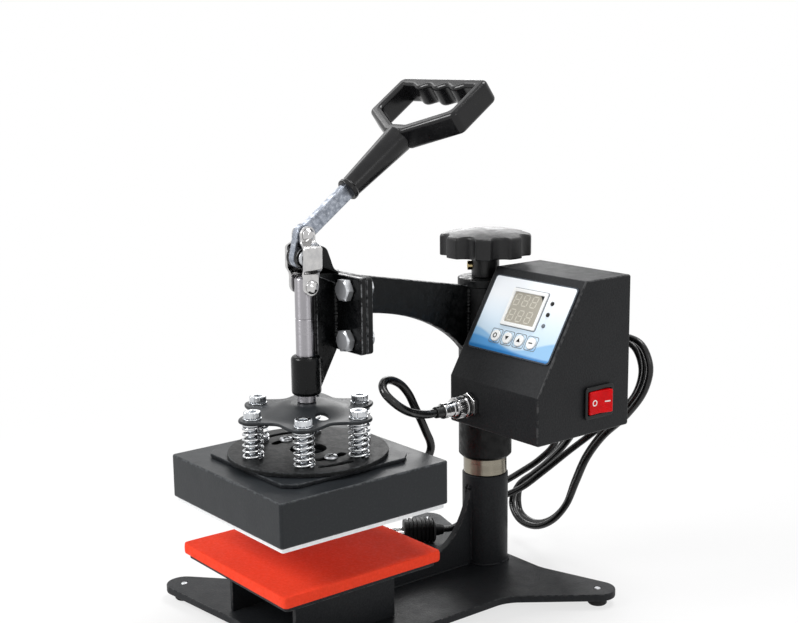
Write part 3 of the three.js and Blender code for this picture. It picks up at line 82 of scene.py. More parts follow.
def extent(node):
    """The box of a CAD node in millimetres: its sides, and its middle in X, Y and Z."""
    low, high = (Vector(corner) * MM - Vector((0, column_y, 0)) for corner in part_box(node))
    return Extent(*low, *high, *((low + high) / 2))


def metres(point):
    """A drawn point as Blender and the frame take it."""
    return Vector((point[0], point[1] + column_y, point[2])) / MM


base = extent("base_plate")
column_box = extent("column")
post = extent("inner_post")
pedestal_box = extent("pedestal")
table_box = extent("platen_table")
pad_box = extent("press_pad")
arm_box = extent("swing_arm")
bracket_box = extent("head_bracket")
knob_box = extent("knob")
plunger = extent("plunger_rod")
spring_plate_box = extent("spring_plate")
disc_box = extent("mounting_disc")
top_plate_box = extent("heater_top_plate")
cover_box = extent("heater_cover")
heating_plate_box = extent("heating_plate")
box = extent("box_shell")
switch_box = extent("switch_housing")
flange_bolts = [extent("flange_bolt_%d" % number) for number in range(1, 5)]
head_bolts = [extent("head_bolt_%d" % number) for number in range(1, 7)]
head_y = plunger.y

# Points of the toggle in the plane of the lever, as Y and Z
pivot = Vector((head_y - 2.5, 245.0))
crank_pin = Vector((head_y + 0.549, 258.869))
low_pin = Vector((head_y, 227.1))
lever_angle = radians(36)

# The slope of the control box, whose own X runs across, Y up the slope and Z out of it
ridge_y = box.back - 41.3
brow_z = box.low + 31.3
panel_angle = atan2(box.top - brow_z, ridge_y - box.front)
PANEL = Matrix.Translation((0, ridge_y, box.top)) @ Matrix.Rotation(panel_angle, 4, "X")

# A drawing's own axes laid on the press: seen from its right side, or from its front
SIDE = Matrix(((0, 0, 1, 0), (1, 0, 0, 0), (0, 1, 0, 0), (0, 0, 0, 1)))
FRONT = Matrix(((1, 0, 0, 0), (0, 0, -1, 0), (0, 1, 0, 0), (0, 0, 0, 1)))


def linear(text):
    """An sRGB hex colour as the linear one that Blender's sockets take."""
    parts = [int(text[i:i + 2], 16) / 255 for i in (1, 3, 5)]
    return [p / 12.92 if p <= 0.04045 else ((p + 0.055) / 1.055) ** 2.4 for p in parts]


LENGTH = {"min": 0.0, "precision": 4, "subtype": "DISTANCE", "unit": "LENGTH"}


def length(name, description, millimetres, most):
    """A size that the sidebar shows, with its default in millimetres."""
    words = {"name": name, "description": description}
    return FloatProperty(**words, default=millimetres / MM, max=most / MM, **LENGTH)


def colour(name, description, text):
    """A colour that the sidebar shows, with its default as an sRGB hex value."""
    words = {"name": name, "description": description}
    return FloatVectorProperty(**words, default=linear(text), min=0.0, max=1.0, size=3, subtype="COLOR")


class PressSizes(PropertyGroup):
    """Sizes of the details that the CAD frame leaves open."""

    sheet_edge: length("Sheet edge", "Radius on the cut edges of the steel sheets", 0.6, 1.0)
    box_edge: length("Box edge", "Radius on the folded edges of the control box", 1.3, 3)
    cover_edge: length("Cover edge", "Radius on the folded edges of the heater's cover", 1.1, 1.4)
    handle_edge: length("Handle edge", "Radius on the moulded edges of the handle's ring", 2.8, 3.4)
    weld_bead: length("Weld bead", "Radius of the weld beads on the arm and its bracket", 1.7, 3)
    spring_wire: length("Spring wire", "Diameter of the wire of the six coil springs", 1.5, 2)
    knob_notch: length("Knob notch", "Depth of the finger notches round the knob", 4.2, 6)
    finger_notch: length("Finger notch", "Depth of the finger notches in the handle", 3.2, 4)
    spring_turns: IntProperty(
        name="Spring turns", description="Turns of each coil spring", default=7, min=4, max=9
    )


class PressColours(PropertyGroup):
    """Colours of the finishes."""

    frame_paint: colour("Frame paint", "Powder coat of the base, column and pedestal", "#17191c")
    arm_paint: colour("Arm paint", "Gloss enamel of the arm and the head bracket", "#060708")
    box_paint: colour("Box paint", "Powder coat of the control box", "#191a1c")
    cover_paint: colour("Cover paint", "Heat-proof enamel of the heater's cover", "#1f2225")
    pad: colour("Pad", "Silicone foam of the press pad", "#f54427")
    plastic: colour("Plastic", "Moulded handle, knob and switch", "#08080a")
    cord: colour("Cords", "PVC of the two cords", "#060607")
    film: colour("Panel film", "Upper part of the control panel's film", "#f2f6fa")
    film_blue: colour("Panel blue", "Lower part of the control panel's film", "#2c79bb")
    rocker: colour("Rocker", "Polycarbonate of the switch's rocker", "#e2040e")


def sidebar_values(context):
    """The sizes and the colours that the sidebar shows."""
    return context.scene.heat_press_sizes, context.scene.heat_press_colours


# Materials

WHITE = (1, 1, 1, 1)


def add(tree, kind, settings, sockets):
    """Adds a shader node with its settings, and gives each of its sockets a value or a link."""
    made = tree.nodes.new("ShaderNode" + kind)
    for name, value in settings.items():
        setattr(made, name, value)
    for name, value in sockets.items():
        if isinstance(value, bpy.types.NodeSocket):
            tree.links.new(value, made.inputs[name])
        else:
            made.inputs[name].default_value = value
    return made


# The grey levels of each texture are spread from this pair to 0 and 1, so that all of its range is used
TEXTURES = {
    "grain": ("TexNoise", {}, {"Detail": 3.0, "Roughness": 0.55}, (0.36, 0.64)),
    "speckle": ("TexNoise", {}, {"Detail": 5.0, "Roughness": 0.7}, (0.5, 0.68)),
    "cells": ("TexVoronoi", {}, {"Randomness": 1.0}, (0.0, 0.75)),
    "flakes": ("TexVoronoi", {"feature": "SMOOTH_F1"}, {"Randomness": 1.0}, (0.1, 0.8)),
    # The faces that round an edge, painted paler: worn paint and a painted edge highlight
    "edges": ("Attribute", {"attribute_name": "edge_wear_and_highlight"}, {}, (0.0, 1.0)),
}


def finish(name, base_colour, patterns=(), **sockets):
    """A named finish, made once: the shader's own sockets, and patterns that are sized in millimetres.

    A pattern has its socket, texture, size, low and high ends, and stretch. On the colour the two ends are
    its share and its own colour, and on the normal its strength and its depth.
    """
    if name in bpy.data.materials:
        return bpy.data.materials[name]
    material = bpy.data.materials.new(name)
    material.use_nodes = True
    tree = material.node_tree
    shader = tree.nodes["Principled BSDF"]
    colour_now = (*base_colour, 1)
    material.diffuse_color = colour_now
    shader.inputs["Base Color"].default_value = colour_now
    for socket, value in sockets.items():
        shader.inputs[socket.replace("_", " ")].default_value = value
    place = add(tree, "TexCoord", {}, {}).outputs["Object"]
    normal = None
    for pattern in (Pattern(*row) for row in patterns):
        kind, settings, values, spread = TEXTURES[pattern.texture]
        ends = {"From Min": spread[0], "From Max": spread[1]}
        if pattern.texture == "edges":
            level = add(tree, kind, settings, values).outputs["Fac"]
            # The rounded edges are painted paler in patches: partly paint that is thin and rubbed through,
            # partly a painted edge highlight
            values = {"Vector": place, "Scale": MM / pattern.size, "Detail": 4.0}
            patches = add(tree, "TexNoise", {}, values).outputs[0]
            edge_wear_and_highlight = {"Value": patches, "From Min": 0.4, "From Max": 0.6, "To Max": pattern.low}
            ends["To Max"] = add(tree, "MapRange", {}, edge_wear_and_highlight).outputs[0]
        else:
            laid_out = add(tree, "Mapping", {}, {"Vector": place, "Scale": pattern.stretch})
            values = {**values, "Vector": laid_out.outputs[0], "Scale": MM / pattern.size}
            level = add(tree, kind, settings, values).outputs[0]
            if pattern.socket != "Normal":
                ends["To Max"] = pattern.low if pattern.socket == "Base Color" else pattern.high
        if pattern.socket == "Roughness":
            ends["To Min"] = pattern.low
        level = add(tree, "MapRange", {}, {"Value": level, **ends}).outputs[0]
        if pattern.socket == "Normal":
            values = {"Height": level, "Distance": pattern.high / MM, "Strength": pattern.low}
            if normal:
                values["Normal"] = normal
            normal = add(tree, "Bump", {}, values).outputs[0]
        elif pattern.socket == "Base Color":
            values = {"Factor": level, FIRST_COLOUR: colour_now, SECOND_COLOUR: (*pattern.high, 1)}
            colour_now = add(tree, "Mix", {"data_type": "RGBA"}, values).outputs[2]
        else:
            tree.links.new(level, shader.inputs[pattern.socket])
    if normal:
        tree.links.new(normal, shader.inputs["Normal"])
    if isinstance(colour_now, bpy.types.NodeSocket):
        tree.links.new(colour_now, shader.inputs["Base Color"])
    return material


def lighter(shade, share):
    """A colour moved towards white by a share."""
    return [c + (1 - c) * share for c in shade]


def darker(shade, share):
    """A colour with each of its parts cut to a share."""
    return [c * share for c in shade]


def powder_coat(name, shade):
    """Sprayed and baked polyester powder on steel: satin, with a fine orange peel of about 0.4 mm.

    It is drawn at 1.3 mm, the finest that shows in the render, and gives the sheets a soft broken sheen.
    """
    return finish(name, shade, (
        ("Base Color", "grain", 1.3, 0.5, lighter(shade, 0.012)),
        # Paler on the rounded edges in patches: worn paint and a painted edge highlight
        ("Base Color", "edges", 3, 0.6, lighter(shade, 0.07)),
        ("Roughness", "grain", 9, 0.46, 0.52),
        ("Normal", "grain", 1.3, 0.5, 0.09),
    ), Roughness=0.5, IOR=1.5, Specular_IOR_Level=0.18)


def gloss_enamel(name, shade, sheen=0.24):
    """Brushed-on gloss enamel over rough hot-rolled steel: deep black, with bright broken highlights.

    The steel's scale of some 4 mm waves the reflections, and the sharp edges are painted paler: paint worn
    thin, and a painted edge highlight.
    """
    return finish(name, shade, (
        # Pale grey on the rounded edges in patches: worn paint and a painted edge highlight
        ("Base Color", "edges", 3, 0.8, linear("#77787a")),
        ("Roughness", "grain", 5, sheen * 0.7, sheen * 1.4),
        ("Normal", "grain", 4, 0.6, 0.16),
        ("Normal", "grain", 1.4, 0.35, 0.05),
    ), Roughness=sheen, IOR=1.52, Specular_IOR_Level=0.2)


def cover_enamel(name, shade):
    """Heat-proof enamel, sprayed on folded sheet: satin and even, with a fine dust of 1.5 mm."""
    return finish(name, shade, (
        ("Base Color", "speckle", 1.5, 0.3, lighter(shade, 0.02)),
        # Paler on the rounded edges in patches: worn paint and a painted edge highlight
        ("Base Color", "edges", 3, 0.5, linear("#54575a")),
        ("Roughness", "grain", 14, 0.36, 0.42),
        ("Normal", "grain", 1.6, 0.35, 0.05),
    ), Roughness=0.4, IOR=1.5, Specular_IOR_Level=0.25)


def zinc_plate(name):
    """Electroplated and blue-passivated zinc: a pale metal with a cloudy, faintly yellow and blue bloom."""
    return finish(name, linear("#a2a5a9"), (
        ("Base Color", "grain", 5, 0.5, linear("#aaa490")),
        ("Base Color", "speckle", 2, 0.45, linear("#757e88")),
        ("Roughness", "grain", 3, 0.2, 0.38),
        ("Normal", "grain", 1.3, 0.25, 0.04),
    ), Metallic=1.0, Roughness=0.28)


def galvanised(name):
    """Hot-dip galvanised bar: blue-grey metal with frost-like crystals of 2 to 4 mm in two greys."""
    return finish(name, linear("#a3a9b4"), (
        ("Base Color", "flakes", 2.8, 0.8, linear("#5c626c")),
        ("Base Color", "speckle", 1.6, 0.7, linear("#cfd4dc")),
        ("Roughness", "flakes", 2.8, 0.24, 0.5),
        ("Normal", "flakes", 2.8, 0.4, 0.1),
    ), Metallic=1.0, Roughness=0.36)


def turned_steel(name, tint="#8f897c"):
    """Bar steel turned on a lathe, with an oil film: faint rings of the tool, drawn 1.6 mm apart."""
    made = finish(name, linear(tint), (
        ("Base Color", "grain", 14, 0.5, darker(linear(tint), 0.85)),
        ("Roughness", "grain", 1.6, 0.26, 0.38, (0.02, 0.02, 1)),
    ), Metallic=1.0, Roughness=0.28, Anisotropic=0.85, Anisotropic_Rotation=0.25)
    tree = made.node_tree
    tangent = tree.nodes["Principled BSDF"].inputs["Tangent"]
    if not tangent.is_linked:
        # The tool's grooves run round the axis, so each reflection is drawn out along it
        around = add(tree, "Tangent", {"direction_type": "RADIAL", "axis": "Z"}, {})
        tree.links.new(around.outputs[0], tangent)
    return made


def bright_plate(name, tint="#c8c7c6"):
    """Bright nickel or chrome plate on small parts: a mirror with a slight haze of 2 mm clouds."""
    return finish(name, linear(tint), (
        ("Base Color", "grain", 4, 0.25, linear("#83848c")),
        ("Roughness", "grain", 2, 0.1, 0.2),
        ("Normal", "grain", 2.2, 0.08, 0.02),
    ), Metallic=1.0, Roughness=0.16)


def bare_aluminium(name):
    """Cast aluminium, milled and coated white on its working face: pale, with 3 mm mill marks."""
    return finish(name, linear("#f0f1f2"), (
        ("Base Color", "grain", 3, 0.4, linear("#d5d8da")),
        ("Roughness", "grain", 3, 0.32, 0.48, (1, 4, 1)),
        ("Normal", "grain", 3, 0.2, 0.03, (1, 4, 1)),
    ), Metallic=0.35, Roughness=0.4)


def oxide_black(name):
    """Blackened cast disc under the springs: near black and rough, with 1.8 mm pits whose glints are painted
    in as pale speckles.
    """
    return finish(name, linear("#0d0e0f"), (
        # Pale speckles painted in as glints of light caught in the pits
        ("Base Color", "speckle", 1.8, 0.12, linear("#6a6c6e")),
        # Paler on the rounded edges in patches: worn paint and a painted edge highlight
        ("Base Color", "edges", 4, 0.6, linear("#4a4c4e")),
        ("Roughness", "grain", 4, 0.46, 0.54),
        ("Normal", "grain", 1.8, 0.35, 0.1),
    ), Roughness=0.5, IOR=1.5, Specular_IOR_Level=0.2)


def silicone_foam(name, shade):
    """Closed-cell silicone foam sheet: dull and slightly translucent, with burst cells of 1.5 to 3 mm."""
    deeper = darker(shade, 0.84)
    glow = {"Subsurface_Weight": 0.12, "Subsurface_Scale": 0.002}
    return finish(name, shade, (
        ("Base Color", "grain", 12, 0.25, deeper),
        ("Base Color", "grain", 1.5, 0.45, deeper),
        ("Roughness", "grain", 3, 0.7, 0.9),
        ("Normal", "cells", 1.6, 0.35, 0.12),
    ), Roughness=0.8, IOR=1.41, Specular_IOR_Level=0.25, **glow)


def clear_red(name, shade):
    """Tinted polycarbonate, polished in the mould: light goes in and glows back red at the edges."""
    glow = {"Subsurface_Weight": 0.2, "Subsurface_Scale": 0.002}
    return finish(name, shade, (
        ("Base Color", "grain", 5, 0.4, darker(shade, 0.6)),
        ("Roughness", "grain", 6, 0.2, 0.3),
    ), Roughness=0.25, IOR=1.58, Specular_IOR_Level=0.1, **glow)


def moulded(name, shade, gloss=0.25, peel=0.05, **sockets):
    """Injection-moulded plastic: an even colour, and the polished or lightly eroded skin of its mould."""
    return finish(name, shade, (
        ("Base Color", "grain", 8, 0.3, lighter(shade, 0.008)),
        ("Roughness", "grain", 6, gloss * 0.85, gloss * 1.15),
        ("Normal", "grain", 1.4, 0.4, peel),
    ), Roughness=gloss, IOR=1.53, **{"Specular_IOR_Level": 0.25, **sockets})


def soft_pvc(name, shade):
    """Extruded PVC sheath: a wet-looking black with faint lengthwise drag and 5 mm of waviness."""
    return finish(name, shade, (
        ("Base Color", "grain", 6, 0.3, lighter(shade, 0.04)),
        ("Roughness", "grain", 5, 0.16, 0.3),
        ("Normal", "grain", 4, 0.25, 0.05),
    ), Roughness=0.24, IOR=1.53, Specular_IOR_Level=0.35)


def printed_film(name, colours):
    """Polyester film, reverse printed: glossy, white above, running through pale blue to waves of blue."""
    made = finish(name, colours.film, (), Roughness=0.22, IOR=1.6)
    tree = made.node_tree
    base_colour = tree.nodes["Principled BSDF"].inputs["Base Color"]
    if base_colour.is_linked:
        return made
    place = tree.nodes["Texture Coordinate"].outputs["Object"]
    up = PANEL.col[1].to_3d()
    foot = metres(PANEL @ Vector((0, -58.5, 0)))
    film_height = 0.053
    at = add(tree, "VectorMath", {"operation": "SUBTRACT"}, {0: place, 1: foot}).outputs[0]
    rise = add(tree, "VectorMath", {"operation": "DOT_PRODUCT"}, {0: at, 1: up}).outputs["Value"]
    share = add(tree, "Math", {"operation": "DIVIDE"}, {0: rise, 1: film_height}).outputs[0]
    along_film = add(tree, "SeparateXYZ", {}, {0: at}).outputs[0]
    ends = {"Value": share, "From Min": 0.2, "From Max": 0.75}
    level = add(tree, "MapRange", {}, ends).outputs[0]
    tint = (*colours.film, 1)
    # First the pale blue below the white, then each wave, which is 80 to 160 mm long
    bands = [(level, (*linear("#c6dff2"), 1))]
    for pitch, phase, height, start, shade in (
        (84.0, 3.0, 0.1, 0.17, linear("#92c1e8")),
        (118.0, 3.4, 0.075, 0.09, linear("#5ca2de")),
        (160.0, 3.4, 0.01, 0.035, colours.film_blue),
    ):
        settings = {"operation": "MULTIPLY_ADD"}
        values = {0: along_film, 1: 2 * pi * MM / pitch, 2: phase}
        turn = add(tree, "Math", settings, values).outputs[0]
        wave = add(tree, "Math", {"operation": "SINE"}, {0: turn}).outputs[0]
        line = add(tree, "Math", settings, {0: wave, 1: height, 2: share}).outputs[0]
        ends = {"Value": line, "From Min": start, "From Max": start + 0.03}
        bands.append((add(tree, "MapRange", {}, ends).outputs[0], (*shade, 1)))
    for level, shade in bands:
        values = {"Factor": level, FIRST_COLOUR: shade, SECOND_COLOUR: tint}
        tint = add(tree, "Mix", {"data_type": "RGBA"}, values).outputs[2]
    tree.links.new(tint, base_colour)
    return made


# Shapes, as corners in millimetres, faces, and the numbers of the faces that round an edge


def outline(corners, steps=6, closed=True):
    """A line from (x, y) corners. One with a third number is rounded with an arc of that radius."""
    points = []
    for i, (x, y, *radius) in enumerate(corners):
        here = Vector((x, y))
        last = not closed and i in (0, len(corners) - 1)
        if last or not radius or radius[0] <= 0:
            points.append((x, y))
            continue
        before = (Vector(corners[i - 1][:2]) - here).normalized()
        after = (Vector(corners[(i + 1) % len(corners)][:2]) - here).normalized()
        half = acos(max(-1.0, min(1.0, before.dot(after)))) / 2
        centre = here + (before + after).normalized() * (radius[0] / sin(half))
        start = here + before * (radius[0] / tan(half)) - centre
        end = here + after * (radius[0] / tan(half)) - centre
        sweep = atan2(start.x * end.y - start.y * end.x, start.dot(end))
        for k in range(steps + 1):
            turn = sweep * k / steps
            points.append((
                centre.x + start.x * cos(turn) - start.y * sin(turn),
                centre.y + start.x * sin(turn) + start.y * cos(turn),
            ))
    return points


def arc(x, y, radius, start, end, steps):
    """Points about a middle, from one angle to another."""
    angles = [start + (end - start) * k / steps for k in range(steps + 1)]
    return [(x + radius * cos(a), y + radius * sin(a)) for a in angles]


def circle(radius, x=0.0, y=0.0, sides=48):
    """A circle's equally spaced points, about a middle."""
    return arc(x, y, radius, 0, 2 * pi, sides)[:-1]


def hexagon(across_flats):
    """The corners of a hexagon, with a flat turned to +X."""
    return arc(0, 0, across_flats / 2 / cos(pi / 6), pi / 6, pi / 6 + 2 * pi, 6)[:-1]


def off_flat(angle):
    """How far an angle is from the middle of the nearest of six flats."""
    return (angle + pi / 6) % (pi / 3) - pi / 6


def rectangle(left, low, right, top, corner=0.0, steps=6):
    """A rectangle's outline, with rounded corners."""
    corners = [(left, low, corner), (right, low, corner), (right, top, corner), (left, top, corner)]
    return outline(corners, steps)


def bezier(pull, steps):
    """Points of a cubic curve from its four control points."""
    a, b, c, d = (Vector(p) for p in pull)
    points = []
    for k in range(steps + 1):
        t = k / steps
        s = 1 - t
        at = a * s ** 3 + b * 3 * s * s * t + c * 3 * s * t * t + d * t ** 3
        points.append(tuple(at))
    return points


def moved(shape, matrix):
    """A shape laid in its place by a matrix."""
    if matrix is None:
        return shape
    corners, *rest = shape
    return [matrix @ Vector(corner) for corner in corners], *rest


def shift(x=0.0, y=0.0, z=0.0):
    """The matrix that moves a shape."""
    return Matrix.Translation((x, y, z))


def laid(across, up, out):
    """The matrix that lays a shape's own X, Y and Z along three directions."""
    return Matrix((across, up, out)).transposed().to_4x4()


def along(direction, at):
    """Lays a shape's own Z along a direction, from a point."""
    turn = Vector((0, 0, 1)).rotation_difference(Vector(direction))
    return Matrix.Translation(at) @ turn.to_matrix().to_4x4()


def loft(rings, closed=False):
    """Skins rings of equally many points, and closes the open ends."""
    count = len(rings[0])
    corners = [point for ring in rings for point in ring]
    faces = []
    for i in range(len(rings) if closed else len(rings) - 1):
        low = i * count
        high = (i + 1) % len(rings) * count
        for k in range(count):
            after = (k + 1) % count
            faces.append((low + k, low + after, high + after, high + k))
    if not closed:
        faces.append(tuple(reversed(range(count))))
        faces.append(tuple(range(len(corners) - count, len(corners))))
    return corners, faces


def lathe(profile, sides=72, shape=None, steps=4, closed=False, at=None):
    """Turns (radius, height, rounding) corners about +Z. A shape may change each radius by its angle."""
    rings = []
    for radius, height in outline(profile, steps, closed):
        ring = []
        for k in range(sides):
            angle = 2 * pi * k / sides
            reach = shape(angle, radius, height) if shape else radius
            ring.append((reach * cos(angle), reach * sin(angle), height))
        rings.append(ring)
    return moved(loft(rings, closed), at)


def plate(lines, low, high, edge=0.0, rounds=1, at=None):
    """A sheet from its outline and its holes, drawn in plan, with rounded edges marked for paler paint: wear
    and a painted highlight.
    """
    # Curves draw the rounded edge and keep it even round each hole
    curve = bpy.data.curves.new("plate", "CURVE")
    curve.dimensions = "2D"
    curve.fill_mode = "BOTH"
    curve.extrude = (high - low) / 2 - edge
    curve.bevel_depth = edge
    curve.bevel_resolution = rounds
    curve.offset = -edge
    for line in lines:
        spline = curve.splines.new("POLY")
        spline.points.add(len(line) - 1)
        for point, (x, y) in zip(spline.points, line):
            point.co = (x, y, 0, 1)
        spline.use_cyclic_u = True
    holder = bpy.data.objects.new("plate", curve)
    mesh = bpy.data.meshes.new_from_object(holder)
    form = bmesh.new()
    form.from_mesh(mesh)
    bmesh.ops.remove_doubles(form, verts=form.verts, dist=1e-3)
    level = 0.002
    flat = [e for e in form.edges if len(e.link_faces) == 2 and e.calc_face_angle(1) < level]
    bmesh.ops.dissolve_edges(form, edges=flat, use_verts=False)
    form.verts.index_update()
    form.normal_update()
    middle = Vector((0, 0, (low + high) / 2))
    corners = [v.co + middle for v in form.verts]
    faces = [tuple(v.index for v in f.verts) for f in form.faces]
    rounded = {i for i, f in enumerate(form.faces) if 0.1 < abs(f.normal.z) < 0.97}
    form.free()
    bpy.data.objects.remove(holder)
    bpy.data.curves.remove(curve)
    bpy.data.meshes.remove(mesh)
    return moved((corners, faces, rounded), at)


def tube(points, radius, sides=12):
    """Sweeps a round section along points without twist. The radius may be a function of their number."""
    points = [Vector(p) for p in points]
    last = len(points) - 1
    side = (points[1] - points[0]).normalized().orthogonal().normalized()
    rings = []
    for i, point in enumerate(points):
        ahead = (points[min(i + 1, last)] - points[max(i - 1, 0)]).normalized()
        side = (side - ahead * side.dot(ahead)).normalized()
        other = ahead.cross(side)
        reach = radius(i) if callable(radius) else radius
        rings.append([point + (side * x + other * y) * reach for x, y in circle(1, sides=sides)])
    return loft(rings)


def bead(points, radius):
    """A weld bead: a row of overlapping ripples of uneven width along a line of corners."""
    pitch = 0.8
    line = []
    for a, b in zip(points, points[1:]):
        steps = max(2, int((Vector(b) - Vector(a)).length / pitch))
        line += [Vector(a).lerp(Vector(b), k / steps) for k in range(steps)]
    line.append(Vector(points[-1]))
    last = len(line) - 1

    def ripple(i):
        ends = min(1.0, (i + 0.4) / 3, (last - i + 0.4) / 3)
        return radius * ends * (1 + 0.12 * sin(2.2 * i) + 0.3 * noise.noise(line[i] / 3))

    return tube(line, ripple, 12)


def smooth_line(points, steps):
    """A centripetal Catmull-Rom line through points, the same one that the CAD cords follow."""
    points = [Vector(p) for p in points]
    points = [points[0] * 2 - points[1], *points, points[-1] * 2 - points[-2]]
    line = []
    for a, b, c, d in zip(points, points[1:], points[2:], points[3:]):
        one = sqrt((b - a).length)
        two = one + sqrt((c - b).length)
        three = two + sqrt((d - c).length)
        for k in range(steps):
            t = one + (two - one) * k / steps
            ab = a * ((one - t) / one) + b * (t / one)
            bc = b * ((two - t) / (two - one)) + c * ((t - one) / (two - one))
            cd = c * ((three - t) / (three - two)) + d * ((t - two) / (three - two))
            abc = ab * ((two - t) / two) + bc * (t / two)
            bcd = bc * ((three - t) / (three - one)) + cd * ((t - one) / (three - one))
            line.append(abc * ((two - t) / (two - one)) + bcd * ((t - one) / (two - one)))
    line.append(points[-2])
    return line


def mesh_of(name, shapes):
    """One mesh in metres from shapes in millimetres, with doubled corners joined and faces outward."""
    form = bmesh.new()
    edge_wear_and_highlight = form.faces.layers.float.new("edge_wear_and_highlight")
    for corners, faces, *rounded in shapes:
        made = [form.verts.new(metres(corner)) for corner in corners]
        for i, face in enumerate(faces):
            added = form.faces.new([made[k] for k in face])
            # Faces that round an edge are marked to be painted paler: worn paint and a painted edge
            # highlight
            added[edge_wear_and_highlight] = 1.0 if rounded and i in rounded[0] else 0.0
    bmesh.ops.remove_doubles(form, verts=form.verts, dist=1e-7)
    bmesh.ops.dissolve_degenerate(form, edges=form.edges, dist=1e-8)
    bmesh.ops.recalc_face_normals(form, faces=form.faces)
    mesh = bpy.data.meshes.new(name)
    form.to_mesh(mesh)
    form.free()
    return mesh


def show(name, data):
    """Puts an object with this data in the scene."""
    made = bpy.data.objects.new(name, data)
    bpy.context.scene.collection.objects.link(made)
    return made


def cut(shape, *tools):
    """Takes other shapes away from a shape."""
    first, *others = [show("cut", mesh_of("cut", [part])) for part in (shape, *tools)]
    for tool in others:
        modifier = first.modifiers.new("cut", "BOOLEAN")
        modifier.operation = "DIFFERENCE"
        modifier.solver = "EXACT"
        modifier.object = tool
    seen = first.evaluated_get(bpy.context.evaluated_depsgraph_get())
    mesh = seen.to_mesh()
    corners = [v.co * MM - Vector((0, column_y, 0)) for v in mesh.vertices]
    faces = [tuple(p.vertices) for p in mesh.polygons]
    edge_wear_and_highlight = mesh.attributes["edge_wear_and_highlight"].data
    rounded = {i for i in range(len(faces)) if edge_wear_and_highlight[i].value > 0.5}
    seen.to_mesh_clear()
    for holder in (first, *others):
        data = holder.data
        bpy.data.objects.remove(holder)
        bpy.data.meshes.remove(data)
    return corners, faces, rounded


def piece(name, body, material, shapes, stands_for=None, crease=38, even=True):
    """One named piece that rides on its body and stands for CAD nodes, by default the one of its name."""
    mesh = mesh_of(name, shapes)
    mesh.materials.append(material)
    mesh.shade_smooth()
    mesh.set_sharp_from_angle(angle=radians(crease))
    made = show(name, mesh)
    if even:
        normals = made.modifiers.new("even shading", "WEIGHTED_NORMAL")
        normals.keep_sharp = True
        normals.weight = 80
    if body:
        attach(made, body)
    nodes = (name,) if stands_for is None else stands_for
    if nodes:
        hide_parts(*nodes)
    return made


def keep(node, material):
    """Gives a CAD node that is right as it is its better material."""
    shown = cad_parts[node]
    for slot in shown.material_slots:
        slot.material = material
    shown.data.shade_smooth()
    shown.data.set_sharp_from_angle(angle=radians(30))


# Camera, light and floor


class HEATPRESS_OT_camera(Operator):
    """Places the camera where the photograph was taken from"""

    bl_idname = "heatpress.camera"
    bl_label = "Camera"

    def execute(self, context):
        data = bpy.data.cameras.new("camera")
        data.lens = 60.05
        data.sensor_width = 36
        camera = show("camera", data)
        place = Vector((672.2, -608.5, 369.6))
        target = Vector((-43.3, -42.0, 190.0))
        roll = radians(-0.65)
        back = (place - target).normalized()
        right = Vector((0, 0, 1)).cross(back).normalized()
        turn = laid(right, back.cross(right), back) @ Matrix.Rotation(roll, 4, "Z")
        camera.matrix_world = Matrix.Translation(metres(place)) @ turn
        context.scene.camera = camera
        return {"FINISHED"}


